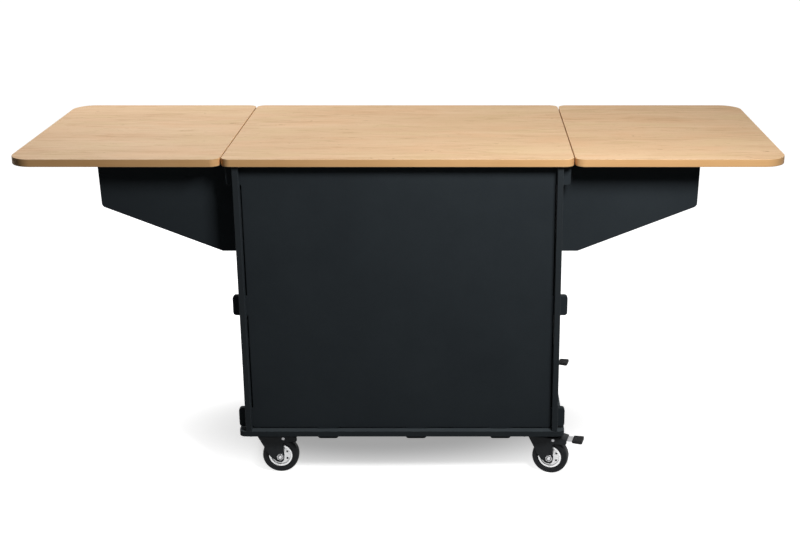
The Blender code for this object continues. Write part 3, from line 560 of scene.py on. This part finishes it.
def merged_copy(node):
    """A node's loose triangles joined, with each flat stretch made whole."""
    shape = bmesh.new()
    shape.from_mesh(frame["nodes"][node].data)
    bmesh.ops.remove_doubles(shape, verts=shape.verts, dist=MERGE)
    bmesh.ops.dissolve_limit(shape, angle_limit=FLAT, verts=shape.verts, edges=shape.edges)
    return shape


def ease(shape, width, steps=EASE_STEPS, angle=SHARP):
    """Rounds every edge sharper than the angle, and returns the new faces."""
    sharp = [edge for edge in shape.edges if edge.is_manifold and edge.calc_face_angle() > angle]
    made = bmesh.ops.bevel(
        shape, geom=sharp, offset=width, offset_type="OFFSET", segments=steps, profile=0.5,
        affect="EDGES", clamp_overlap=True, material=-1)
    return made["faces"]


def turned(profile, steps=TURN_STEPS, closed=False):
    """A profile of (radius, height) points turned round the Z axis."""
    shape = bmesh.new()
    ring = [shape.verts.new((radius, 0, height)) for radius, height in profile]
    edges = [shape.edges.new(pair) for pair in zip(ring, ring[1:])]
    if closed:
        edges.append(shape.edges.new((ring[-1], ring[0])))
    bmesh.ops.spin(
        shape, geom=ring + edges, cent=(0, 0, 0), axis=(0, 0, 1), angle=math.tau, steps=steps,
        use_merge=True)
    bmesh.ops.remove_doubles(shape, verts=shape.verts, dist=MERGE)
    bmesh.ops.recalc_face_normals(shape, faces=shape.faces)
    return shape


def arc(centre, radii, start, end, steps):
    """Points along an ellipse, from one angle in degrees to another."""
    points = []
    for step in range(steps + 1):
        angle = math.radians(start + (end - start) * step / steps)
        points.append((centre[0] + radii[0] * math.cos(angle), centre[1] + radii[1] * math.sin(angle)))
    return points


def mirrored_profile(upper):
    """A closed profile from its upper half."""
    return upper + [(radius, -height) for radius, height in reversed(upper)]


def block(size, middle=(0, 0, 0)):
    """A box round a middle point."""
    shape = bmesh.new()
    place = Matrix.Translation(middle) @ Matrix.Diagonal((*size, 1))
    bmesh.ops.create_cube(shape, size=1.0, matrix=place)
    return shape


def raise_flat(shape, height):
    """Draws a flat face up into a block."""
    made = bmesh.ops.extrude_face_region(shape, geom=shape.faces[:])
    upper = [item for item in made["geom"] if isinstance(item, bmesh.types.BMVert)]
    bmesh.ops.translate(shape, vec=(0, 0, height), verts=upper)
    bmesh.ops.recalc_face_normals(shape, faces=shape.faces)


def moved(shape, matrix):
    """The same shape, set in place by a matrix."""
    bmesh.ops.transform(shape, matrix=matrix, verts=shape.verts)
    return shape


def joined(shapes):
    """Several shapes as one, each still a closed body."""
    whole = bmesh.new()
    for shape in shapes:
        carrier = bpy.data.meshes.new("carrier")
        shape.to_mesh(carrier)
        shape.free()
        whole.from_mesh(carrier)
        bpy.data.meshes.remove(carrier)
    return whole


def cut_out(shape, drill):
    """The shape with the drill's shape taken out of it."""
    holders = []
    for part in (shape, drill):
        mesh = bpy.data.meshes.new("cutting")
        part.to_mesh(mesh)
        part.free()
        holder = bpy.data.objects.new("cutting", mesh)
        bpy.context.scene.collection.objects.link(holder)
        holders.append(holder)
    cut = holders[0].modifiers.new("cut", "BOOLEAN")
    cut.operation = "DIFFERENCE"
    cut.object = holders[1]
    result = bmesh.new()
    result.from_object(holders[0], bpy.context.evaluated_depsgraph_get())
    for holder in holders:
        mesh = holder.data
        bpy.data.objects.remove(holder)
        bpy.data.meshes.remove(mesh)
    return result


def add_piece(shape, name, body, finishes, stands_for=(), flat_faces=False):
    """Turns a shape into a shaded piece that rides on a body."""
    mesh = bpy.data.meshes.new(name)
    shape.to_mesh(mesh)
    shape.free()
    leftover = mesh.attributes.get("custom_normal")
    if leftover:
        mesh.attributes.remove(leftover)
    for finish in finishes:
        mesh.materials.append(finish)
    mesh.shade_smooth()
    mesh.set_sharp_from_angle(angle=SHADED_SHARP)
    piece = bpy.data.objects.new(name, mesh)
    bpy.context.scene.collection.objects.link(piece)
    if flat_faces:
        weighted = piece.modifiers.new("flat_faces", "WEIGHTED_NORMAL")
        weighted.keep_sharp = True
    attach(piece, body)
    if stands_for:
        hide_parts(*stands_for)


# Boards


def dress_board(node, body, thin):
    """A dark board with eased edges: faces, machined edges and arrises each have their finish."""
    shape = merged_copy(node)
    for face in shape.faces:
        face.material_index = 0 if abs(face.normal[thin]) > FACING else 1
    for face in ease(shape, BOARD_EASE):
        face.material_index = 2
    # Boards lying flat get the copy painted lighter on their level faces, as painted light.
    finishes = LIT_LEVEL_FINISHES if thin == 2 else BOARD_FINISHES
    add_piece(shape, node + "_board", body, finishes, [node], True)


def dress_top(node, body, corner_radii, finish):
    """A pale top, from its box and its corner radii: left front, right front, right back, left back.

    Its edges are banded, but for those in the seams, which are left as pale as the face.
    """
    low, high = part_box(node)
    shape = bmesh.new()
    places = ((low.x, low.y), (high.x, low.y), (high.x, high.y), (low.x, high.y))
    ring = [shape.verts.new((x, y, low.z)) for x, y in places]
    shape.faces.new(ring)
    for corner, radius in zip(ring, corner_radii):
        bmesh.ops.bevel(
            shape, geom=[corner], offset=radius, offset_type="OFFSET", segments=CORNER_STEPS,
            profile=0.5, affect="VERTICES", material=-1)
    raise_flat(shape, high.z - low.z)
    for face in shape.faces:
        in_seam = abs(face.normal.x) > SEAM_FACING and abs(face.calc_center_median().x) < SEAM_SIDE
        face.material_index = 0 if abs(face.normal.z) > FACING or in_seam else 1
    for face in ease(shape, TOP_EASE):
        face.material_index = 2
    add_piece(shape, node + "_board", body, (finish, OAK_EDGE, OAK_ARRIS), [node], True)


def gap_strip(name, low, high):
    """A dark strip behind the front panel, put there as painted shade so that a gap beside it is a dark
    line.
    """
    shape = block(Vector(high) - Vector(low), (Vector(low) + Vector(high)) / 2)
    ease(shape, STRIP_EASE, 1)
    add_piece(shape, name, "cart", [BOARD_FINISHES[1]])


def fit_gap_strips():
    """Strips behind the gaps at the front panel's foot and at its two ends, as painted shade in those
    gaps.
    """
    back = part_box("front_panel")[1].y - CONTACT
    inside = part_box("right_side_panel")[0].x - CONTACT
    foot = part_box("base_plate")[1].z + CONTACT
    above_foot = foot + FOOT_GAP
    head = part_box("centre_top")[0].z - CONTACT
    gap_strip("foot_gap_strip", (-inside, back - STRIP, foot), (inside, back, above_foot))
    gap_strip("left_gap_strip", (-inside, back - STRIP, above_foot), (FRONT_GAP - inside, back, head))
    gap_strip("right_gap_strip", (inside - FRONT_GAP, back - STRIP, above_foot), (inside, back, head))


THIN_ACROSS = {
    "base_plate": 2,
    "shelf": 2,
    "left_side_panel": 0,
    "right_side_panel": 0,
    "front_panel": 1,
    "rear_rail": 1,
    "left_top_cleat": 2,
    "right_top_cleat": 2,
}
for board_name, thin_axis in THIN_ACROSS.items():
    dress_board(board_name, "cart", thin_axis)
fit_gap_strips()
dress_top("centre_top", "cart", [SEAM_CORNER] * 4, oak_face("oak_centre", (0.3, 1.7, 0.0), 0.0))
dress_top("left_wing", "left_wing_body", [WING_CORNER, SEAM_CORNER, SEAM_CORNER, WING_CORNER],
          oak_face("oak_left", (4.1, 0.4, 0.0), 0.02))
dress_top("right_wing", "right_wing_body", [SEAM_CORNER, WING_CORNER, WING_CORNER, SEAM_CORNER],
          oak_face("oak_right", (8.6, 2.9, 0.0), -0.015))
for side_word in ("left", "right"):
    dress_board(side_word + "_bracket", side_word + "_bracket_body", 1)
    rest = merged_copy(side_word + "_wing_rest")
    ease(rest, SHEET_EASE)
    add_piece(rest, side_word + "_wing_rest_felted", side_word + "_wing_body", [FELT],
              [side_word + "_wing_rest"], True)


# Castors


def castor_frame(word):
    """Local X from the kingpin towards the axle, Y along the axle, Z up from the floor."""
    kingpin = Vector(JOINTS[word + "_swivel"]["pos_m"])
    axle = Vector(JOINTS[word + "_wheel_spin"]["pos_m"])
    forward = Vector((axle.x - kingpin.x, axle.y - kingpin.y, 0))
    trail = forward.length
    forward.normalize()
    up = Vector((0, 0, 1))
    turn = Matrix((forward, up.cross(forward), up)).transposed().to_4x4()
    return Matrix.Translation((kingpin.x, kingpin.y, 0)) @ turn, trail


def tyre_shape():
    """Rounded tread, bulging side walls with a moulded ring, and a bead at the rim."""
    bead = RIM_RADIUS + TYRE_SEAT
    shoulder = (WHEEL_RADIUS - TYRE_CROWN - TYRE_SHOULDER, TYRE_HALF - TYRE_SHOULDER)
    upper = [(bead + out, TYRE_HALF - sunk) for out, sunk in SIDE_WALL]
    upper += arc(shoulder, (TYRE_SHOULDER, TYRE_SHOULDER), 90, 90 - SHOULDER_TURN, SHOULDER_STEPS)
    upper += [(WHEEL_RADIUS - sunk, across) for sunk, across in TREAD]
    return turned(mirrored_profile(upper), closed=True)


def rim_shape():
    """Lip, recessed web and hub, with rounded edges."""
    web = RIM_HALF - RIM_RECESS
    upper = [
        (AXLE_BORE, HUB_HALF),
        (HUB_RADIUS - HUB_EASE, HUB_HALF),
        (HUB_RADIUS, HUB_HALF - HUB_EASE),
        (HUB_RADIUS + HUB_FLARE, web + HUB_FOOT_RISE),
        (HUB_RADIUS + HUB_FOOT, web),
        (RIM_RADIUS - RIM_LIP - RIM_RECESS / 2, web),
        (RIM_RADIUS - RIM_LIP, RIM_HALF),
        (RIM_RADIUS, RIM_HALF),
    ]
    return turned(mirrored_profile(upper), closed=True)


def rim_drill():
    """The ring of holes through a rim's web."""
    drill = bmesh.new()
    for hole in range(RIM_HOLES):
        angle = math.tau * (hole + 0.5) / RIM_HOLES
        place = Vector((RIM_HOLE_RING * math.cos(angle), RIM_HOLE_RING * math.sin(angle), 0))
        bmesh.ops.create_cone(
            drill, cap_ends=True, segments=SMALL_TURN_STEPS, radius1=RIM_HOLE_RADIUS,
            radius2=RIM_HOLE_RADIUS, depth=4 * RIM_HALF, matrix=Matrix.Translation(place))
    return drill


def drilled_rim():
    """The rim with its holes, whose walls take the second finish, black as painted shade, and its
    recessed web the third, a darker copy as painted shade.
    """
    shape = cut_out(rim_shape(), rim_drill())
    web = RIM_HALF - RIM_RECESS
    for face in shape.faces:
        middle = face.calc_center_median()
        off_ring = abs(math.hypot(middle.x, middle.y) - RIM_HOLE_RING)
        # Hole walls: black, as painted shade in the holes.
        if off_ring < RIM_HOLE_RADIUS + MERGE and abs(face.normal.z) < 1 - FACING:
            face.material_index = 1
        # Recessed web: the darker copy, as painted shade.
        elif abs(abs(middle.z) - web) < MERGE and abs(face.normal.z) > FACING:
            face.material_index = 2
    return shape


def nut_shape(radius, thick):
    """A hexagon with its outer corners taken off."""
    shape = bmesh.new()
    bmesh.ops.create_cone(
        shape, cap_ends=True, segments=6, radius1=radius, radius2=radius, depth=thick,
        matrix=Matrix.Translation((0, 0, thick / 2)))
    ease(shape, NUT_EASE, FEW_STEPS)
    return shape


def washer_shape():
    """A flat disc with its upper edge taken off."""
    profile = [
        (0, WASHER_THICK),
        (WASHER_RADIUS - WASHER_EASE, WASHER_THICK),
        (WASHER_RADIUS, WASHER_THICK - WASHER_EASE),
        (WASHER_RADIUS, 0),
        (0, 0),
    ]
    return turned(profile, 2 * SMALL_TURN_STEPS)


def insert_shade_ring_shape(low):
    """The insert of a lock nut, in the second, black finish: partly the insert itself and partly painted
    shade for the gap round the bolt's end.
    """
    high = low + INSERT_SHADE_THICK
    shape = turned([(0, high), (INSERT_SHADE_RADIUS, high), (INSERT_SHADE_RADIUS, low), (0, low)], SMALL_TURN_STEPS)
    for face in shape.faces:
        face.material_index = 1
    return shape


def thread_shape(radius, start, end):
    """A bolt's end with its thread as rings and a small chamfer."""
    inwards, downwards = THREAD_CHAMFER
    height = end - downwards
    profile = [(0, end), (radius - inwards, end), (radius, height)]
    while height - THREAD_PITCH > start:
        profile += [(radius - THREAD_DEPTH, height - THREAD_PITCH / 2), (radius, height - THREAD_PITCH)]
        height -= THREAD_PITCH
    profile += [(radius, start), (0, start)]
    return turned(profile, SMALL_TURN_STEPS)


def axle_bolt_shape(outside):
    """Shank through fork and hub, and at each end a washer, a lock nut and the thread's end."""
    shank = [(0, outside), (SHANK_RADIUS, outside), (SHANK_RADIUS, -outside), (0, -outside)]
    shapes = [turned(shank, SMALL_TURN_STEPS)]
    nut_low = outside + WASHER_THICK - NUT_BEDDING
    nut_seat = Matrix.Translation((0, 0, nut_low)) @ Matrix.Rotation(NUT_TURN, 4, "Z")
    # The insert's black ring is partly painted shade.
    shade_ring_low = nut_low + NUT_THICK + INSERT_SHADE_PROUD - INSERT_SHADE_THICK
    for angle in (0, math.pi):
        flip = Matrix.Rotation(angle, 4, "X")
        washer = moved(washer_shape(), Matrix.Translation((0, 0, outside)))
        nut = moved(nut_shape(NUT_RADIUS, NUT_THICK), nut_seat)
        thread = thread_shape(BOLT_RADIUS, outside + WASHER_THICK / 2, outside + BOLT_END)
        for shape in (washer, nut, insert_shade_ring_shape(shade_ring_low), thread):
            shapes.append(moved(shape, flip))
    return joined(shapes)


def rivet_shape(outside):
    """A rivet with a domed head at each end."""
    upper = arc((0, outside), (RIVET_HEAD_RADIUS, RIVET_HEAD), 90, 0, RIVET_STEPS)
    upper.append((RIVET_RADIUS, outside))
    return turned(mirrored_profile(upper), SMALL_TURN_STEPS)


def tail_shape():
    """The sheet that closes the fork over the brake, lying on the sloping tops of its ears."""
    run = TAIL_END[0] - TAIL_START[0]
    fall = TAIL_END[1] - TAIL_START[1]
    size = (math.hypot(run, fall), 2 * (FORK_OUTSIDE - TAIL_MARGIN), TAIL_SHEET)
    shape = block(size, (0, 0, TAIL_SHEET / 2))
    ease(shape, SHEET_EASE, FEW_STEPS)
    middle = Matrix.Translation((TAIL_START[0] + run / 2, 0, TAIL_START[1] + fall / 2))
    return moved(shape, middle @ Matrix.Rotation(-math.atan2(fall, run), 4, "Y"))


def tread_ribs(tread):
    """Raised ribs across the flat of a pad's tread."""
    places = [vertex.co for vertex in tread.verts]
    low_x = min(place.x for place in places)
    high_x = max(place.x for place in places)
    half_width = max(place.y for place in places)
    level = tread.calc_center_median().z
    pitch = (high_x - low_x) / (RIBS + RIB_ROOM)
    ribs = []
    for number in range(RIBS):
        rib = block((RIB_WIDTH, 2 * (half_width - RIB_MARGIN), RIB_HEIGHT))
        ease(rib, RIB_EASE, FEW_STEPS)
        x = (low_x + high_x) / 2 + (number - (RIBS - 1) / 2) * pitch
        ribs.append(moved(rib, Matrix.Translation((x, 0, level - RIB_HEIGHT / 2))))
    return ribs


def pad_shape(node, place):
    """The flared pad with soft edges, a dished tread and raised ribs across it."""
    shape = moved(merged_copy(node), place.inverted())
    ease(shape, PAD_EASE)
    tread = max(shape.faces, key=lambda face: face.normal.z * face.calc_area())
    ribs = tread_ribs(tread)
    bmesh.ops.inset_region(shape, faces=[tread], thickness=PAD_BORDER, depth=0.0)
    bmesh.ops.inset_region(shape, faces=[tread], thickness=DISH_WALL, depth=-DISH_DEPTH)
    return moved(joined([shape] + ribs), place)


def dress_wheel(word, axle):
    """Tyre and rim, which turn on the axle."""
    body = word + "_wheel"
    add_piece(moved(tyre_shape(), axle), word + "_tyre_round", body, [TYRE], [word + "_tyre"])
    # The hole walls take the black tyre finish and the web the darker copy, both as painted shade.
    add_piece(moved(drilled_rim(), axle), word + "_rim_turned", body, [RIM, TYRE, RIM_WEB_SHADED],
              [word + "_rim"])


def dress_pins(word, place, axle):
    """The bolt through the wheel and the rivet on which a brake turns."""
    body = word + "_castor"
    # The second finish, black, marks the nut's insert and stands partly as painted shade.
    add_piece(moved(axle_bolt_shape(FORK_OUTSIDE), axle), word + "_axle_bolt_and_nuts", body,
              [BRIGHT_STEEL, TYRE], [word + "_axle_bolt"])
    rivet_low, rivet_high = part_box(word + "_fork_rivet")
    rivet_place = Matrix.Translation((rivet_low + rivet_high) / 2) @ place.to_3x3().to_4x4() @ ALONG_AXLE
    add_piece(moved(rivet_shape(FORK_OUTSIDE), rivet_place), word + "_rivet_domed", body,
              [DULL_STEEL], [word + "_fork_rivet"])


def dress_pressing(node, name, body):
    """A black steel pressing with eased edges."""
    shape = merged_copy(node)
    ease(shape, SHEET_EASE, FEW_STEPS, SHEET_SHARP)
    add_piece(shape, name, body, [BLACK_STEEL], [node], True)


def dress_brake(word, place):
    """The pedal's steel tongue and its rubber pad."""
    body = word + "_pedal"
    arm_node = word + "_pedal_arm"
    arm = merged_copy(arm_node)
    ease(arm, ARM_EASE, FEW_STEPS, SHEET_SHARP)
    add_piece(arm, word + "_pedal_tongue", body, [BRIGHT_STEEL], [arm_node], True)
    pad_node = word + "_pedal_pad"
    pad = pad_shape(pad_node, place)
    add_piece(pad, word + "_pedal_tread", body, [PAD], [pad_node], True)


def dress_castor(word):
    """One castor with its wheel, and its brake where it has one."""
    place, trail = castor_frame(word)
    axle = place @ Matrix.Translation((trail, 0, WHEEL_RADIUS)) @ ALONG_AXLE
    dress_wheel(word, axle)
    dress_pins(word, place, axle)
    dress_pressing(word + "_fork", word + "_fork_pressed", word + "_castor")
    dress_pressing(word + "_castor_plate", word + "_plate_pressed", "cart")
    tail = moved(tail_shape(), place)
    add_piece(tail, word + "_fork_tail", word + "_castor", [BLACK_STEEL])
    if word + "_brake" in JOINTS:
        dress_brake(word, place)


for castor_word in CASTORS:
    dress_castor(castor_word)


# Hinges


def dress_hinge(word, kind):
    """Smooth copies of a hinge's leaves and pin."""
    hinge = word + "_" + kind + "_hinge"
    bodies = {"_leaf_fixed": "cart", "_leaf_moving": word + "_" + kind + "_body", "_pin": "cart"}
    for ending, body in bodies.items():
        node = hinge + ending
        add_piece(merged_copy(node), node + "_smooth", body, [HINGE_STEEL], [node], True)


for side_word in ("left", "right"):
    dress_hinge(side_word, "wing")
    dress_hinge(side_word, "bracket")


# Fasteners


def facing(place, normal):
    """Sets a fastener's Z axis along the normal of the face that it stands on."""
    return Matrix.Translation(place) @ Vector(normal).to_track_quat("Z", "Y").to_matrix().to_4x4()


def hex_head():
    """A hexagon on a round flange."""
    profile = [
        (0, FLANGE),
        (FLANGE_RADIUS - FLANGE_EASE, FLANGE),
        (FLANGE_RADIUS, FLANGE / 2),
        (FLANGE_RADIUS, 0),
        (0, 0),
    ]
    hexagon = moved(nut_shape(HEX_RADIUS, HEX_HEAD - FLANGE / 2), Matrix.Translation((0, 0, FLANGE / 2)))
    return joined([turned(profile, 2 * SMALL_TURN_STEPS), hexagon])


def dome_head():
    """A low round head."""
    profile = arc((0, 0), (DOME_RADIUS, DOME_HEAD), 90, 0, DOME_STEPS)
    return turned(profile + [(0, 0)], 2 * SMALL_TURN_STEPS)


def cross_recess():
    """The plus sign that a driver fits, as a block from the recess's floor to above the head."""
    shape = bmesh.new()
    ring = []
    for quarter in range(4):
        turn = Matrix.Rotation(math.radians(90 * quarter), 4, "Z")
        for x, y in ((RECESS_HALF, -RECESS_HALF), (RECESS_ARM, -RECESS_HALF), (RECESS_ARM, RECESS_HALF)):
            ring.append(shape.verts.new(turn @ Vector((x, y, SCREW_PROUD - SCREW_RECESS))))
    shape.faces.new(ring)
    raise_flat(shape, 2 * SCREW_RECESS)
    return shape


def screw_head():
    """A countersunk head with a cross recess, a little proud of its face."""
    profile = [
        (0, SCREW_PROUD),
        (SCREW_RADIUS - SCREW_EASE, SCREW_PROUD),
        (SCREW_RADIUS, SCREW_PROUD / 2),
        (SCREW_RADIUS, 0),
        (SCREW_RADIUS / 2, -SCREW_SINK),
        (0, -SCREW_SINK),
    ]
    return cut_out(turned(profile, SMALL_TURN_STEPS), cross_recess())


def row_of_screws(name, body, start, step, count, normal):
    """Screws in a row, each head turned a little differently, as a hand leaves them."""
    heads = []
    for number in range(count):
        place = facing(Vector(start) + number * Vector(step), normal)
        heads.append(moved(screw_head(), place @ Matrix.Rotation(SCREW_TURN * number, 4, "Z")))
    add_piece(joined(heads), name, body, [BRIGHT_STEEL])


def fit_castor_bolts(word):
    """Hexagon heads under each plate, and domes above where no panel stands on the base plate."""
    kingpin = Vector(JOINTS[word + "_swivel"]["pos_m"])
    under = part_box(word + "_castor_plate")[1].z - PLATE_THICK
    base_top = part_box("base_plate")[1].z
    side_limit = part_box("right_side_panel")[0].x - DOME_RADIUS
    front_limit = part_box("front_panel")[1].y + DOME_RADIUS
    below = []
    above = []
    for across, along in PLATE_BOLTS:
        x = kingpin.x + across
        y = kingpin.y + along
        below.append(moved(hex_head(), facing((x, y, under), (0, 0, -1))))
        if abs(x) < side_limit and y > front_limit:
            above.append(moved(dome_head(), Matrix.Translation((x, y, base_top))))
    add_piece(joined(below), word + "_plate_bolts", "cart", [BLACK_STEEL])
    add_piece(joined(above), word + "_bolt_domes", "cart", [BLACK_STEEL])


def fit_wing_hinge_screws(word, side):
    """Screws in both leaves of a wing hinge, from below."""
    pin = Vector(JOINTS[word + "_wing_lift"]["pos_m"])
    first = -(WING_SCREWS - 1) / 2 * WING_SCREW_PITCH
    step = (0, WING_SCREW_PITCH, 0)
    for leaf, body, out in (("fixed", "cart", -1), ("moving", word + "_wing_body", 1)):
        name = word + "_wing_hinge_leaf_" + leaf
        start = (pin.x + side * out * WING_SCREW_OUT, first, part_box(name)[1].z - LEAF)
        row_of_screws(name + "_screws", body, start, step, WING_SCREWS, (0, 0, -1))


def fit_bracket_hinge_screws(word, side):
    """Screws in both leaves of a bracket hinge, into the side panel and into the bracket's back."""
    name = word + "_bracket_hinge_leaf_"
    pin = Vector(JOINTS[word + "_bracket_swing"]["pos_m"])
    first = pin.z - (BRACKET_SCREWS - 1) / 2 * BRACKET_SCREW_PITCH
    step = (0, 0, BRACKET_SCREW_PITCH)
    panel_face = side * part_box("right_side_panel")[1].x
    start = (panel_face + side * LEAF_OUT, pin.y + BRACKET_SCREW_OUT, first)
    row_of_screws(name + "fixed_screws", "cart", start, step, BRACKET_SCREWS, (side, 0, 0))
    start = (pin.x + side * BRACKET_SCREW_OUT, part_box(word + "_bracket")[1].y + LEAF_OUT, first)
    row_of_screws(name + "moving_screws", word + "_bracket_body", start, step, BRACKET_SCREWS, (0, 1, 0))


def fit_cleat_screws(word, side):
    """Screws up through each cleat into the worktop, and sideways into the side panel."""
    low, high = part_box(word + "_top_cleat")
    middle = (low + high) / 2
    first = middle.y - (CLEAT_SCREWS - 1) / 2 * CLEAT_SCREW_PITCH
    step = (0, CLEAT_SCREW_PITCH, 0)
    inner = low.x if side > 0 else high.x
    start = (middle.x, first, low.z)
    row_of_screws(word + "_cleat_upward_screws", "cart", start, step, CLEAT_SCREWS, (0, 0, -1))
    start = (inner, first + CLEAT_SCREW_PITCH / 2, middle.z)
    row_of_screws(word + "_cleat_sideways_screws", "cart", start, step, CLEAT_SCREWS - 1, (-side, 0, 0))


for castor_word in CASTORS:
    fit_castor_bolts(castor_word)
for side_word, side_sign in (("left", -1), ("right", 1)):
    fit_wing_hinge_screws(side_word, side_sign)
    fit_bracket_hinge_screws(side_word, side_sign)
    fit_cleat_screws(side_word, side_sign)


# Floor, light and camera


def sight_rays(nodes, links):
    """One for rays from the camera, and for those that show it a reflection or a view through glass."""
    path = nodes.new("ShaderNodeLightPath")
    total = path.outputs["Is Camera Ray"]
    for kind in ("Is Glossy Ray", "Is Transmission Ray"):
        larger = nodes.new("ShaderNodeMath")
        larger.operation = "MAXIMUM"
        links.new(total, larger.inputs[0])
        links.new(path.outputs[kind], larger.inputs[1])
        total = larger.outputs[0]
    return total


def studio_world():
    """White to the camera and in reflections, and otherwise a weak fill light."""
    world = bpy.data.worlds.new("studio")
    bpy.context.scene.world = world
    world.use_nodes = True
    nodes = world.node_tree.nodes
    links = world.node_tree.links
    soft = nodes["Background"]
    soft.inputs["Strength"].default_value = AMBIENT
    soft.inputs["Color"].default_value = (1.0, 1.0, 1.0, 1.0)
    white = nodes.new("ShaderNodeBackground")
    white.inputs["Color"].default_value = (1.0, 1.0, 1.0, 1.0)
    mix = nodes.new("ShaderNodeMixShader")
    links.new(sight_rays(nodes, links), mix.inputs[0])
    links.new(soft.outputs[0], mix.inputs[1])
    links.new(white.outputs[0], mix.inputs[2])
    links.new(mix.outputs[0], nodes["World Output"].inputs["Surface"])


def floor_fade(nodes, links):
    """One away from the cart and less under it, where the floor glows least."""
    place = nodes.new("ShaderNodeTexCoord")
    reach = nodes.new("ShaderNodeMapping")
    shift = [-middle / half for middle, half in zip(SHADOW_MIDDLE, SHADOW_REACH)]
    reach.inputs["Location"].default_value = (*shift, 0)
    reach.inputs["Scale"].default_value = (1 / SHADOW_REACH[0], 1 / SHADOW_REACH[1], 0)
    links.new(place.outputs["Object"], reach.inputs["Vector"])
    distance = nodes.new("ShaderNodeVectorMath")
    distance.operation = "LENGTH"
    links.new(reach.outputs["Vector"], distance.inputs[0])
    fade = nodes.new("ShaderNodeMapRange")
    fade.interpolation_type = "SMOOTHSTEP"
    fade.inputs["From Min"].default_value = SHADOW_CORE
    fade.inputs["From Max"].default_value = 1.0
    fade.inputs["To Min"].default_value = FLOOR_GLOW
    fade.inputs["To Max"].default_value = 1.0
    links.new(distance.outputs["Value"], fade.inputs["Value"])
    return fade.outputs["Result"]


def floor_paint():
    """Matt paint that glows white to the camera and sends little light back up."""
    paint = bpy.data.materials.new("floor_paint")
    paint.use_nodes = True
    nodes = paint.node_tree.nodes
    links = paint.node_tree.links
    nodes.remove(nodes["Principled BSDF"])
    seen = sight_rays(nodes, links)
    shade = nodes.new("ShaderNodeMapRange")
    shade.inputs["To Min"].default_value = FLOOR_BOUNCE
    shade.inputs["To Max"].default_value = FLOOR_SHADE
    links.new(seen, shade.inputs["Value"])
    matt = nodes.new("ShaderNodeBsdfDiffuse")
    links.new(shade.outputs["Result"], matt.inputs["Color"])
    strength = nodes.new("ShaderNodeMath")
    strength.operation = "MULTIPLY"
    links.new(seen, strength.inputs[0])
    links.new(floor_fade(nodes, links), strength.inputs[1])
    glow = nodes.new("ShaderNodeEmission")
    links.new(strength.outputs[0], glow.inputs["Strength"])
    both = nodes.new("ShaderNodeAddShader")
    links.new(matt.outputs[0], both.inputs[0])
    links.new(glow.outputs[0], both.inputs[1])
    links.new(both.outputs[0], nodes["Material Output"].inputs["Surface"])
    return paint


def studio_floor():
    """A pale floor that still takes the cart's shadow."""
    shape = bmesh.new()
    bmesh.ops.create_grid(shape, x_segments=1, y_segments=1, size=FLOOR_SIZE / 2)
    mesh = bpy.data.meshes.new("floor")
    shape.to_mesh(mesh)
    shape.free()
    mesh.materials.append(floor_paint())
    floor = bpy.data.objects.new("floor", mesh)
    bpy.context.scene.collection.objects.link(floor)


def soft_box(name, place, aim, width, watts):
    """A square area light turned towards the point that it is aimed at."""
    lamp = bpy.data.lights.new(name, "AREA")
    lamp.energy = watts
    lamp.shape = "SQUARE"
    lamp.size = width
    box = bpy.data.objects.new(name, lamp)
    bpy.context.scene.collection.objects.link(box)
    box.location = place
    box.rotation_euler = (Vector(aim) - Vector(place)).to_track_quat("-Z", "Y").to_euler()


def photo_camera():
    """The photograph's view, with the lens shifted by the crop."""
    lens = bpy.data.cameras.new("photo_camera")
    lens.sensor_width = SENSOR_MM
    lens.lens = FOCAL_PIXELS / PHOTO_WIDTH * SENSOR_MM
    lens.shift_x = (PHOTO_WIDTH / 2 - AXIS_PIXEL) / PHOTO_WIDTH
    lens.clip_end = 2 * FLOOR_SIZE
    camera = bpy.data.objects.new("photo_camera", lens)
    bpy.context.scene.collection.objects.link(camera)
    camera.location = CAMERA_PLACE
    camera.rotation_euler = (math.radians(90 - CAMERA_TILT), 0, 0)
    bpy.context.scene.camera = camera


studio_world()
studio_floor()
for box_name, box_values in SOFT_BOXES.items():
    soft_box(box_name, *box_values)
photo_camera()
bpy.context.scene.view_settings.view_transform = "Standard"
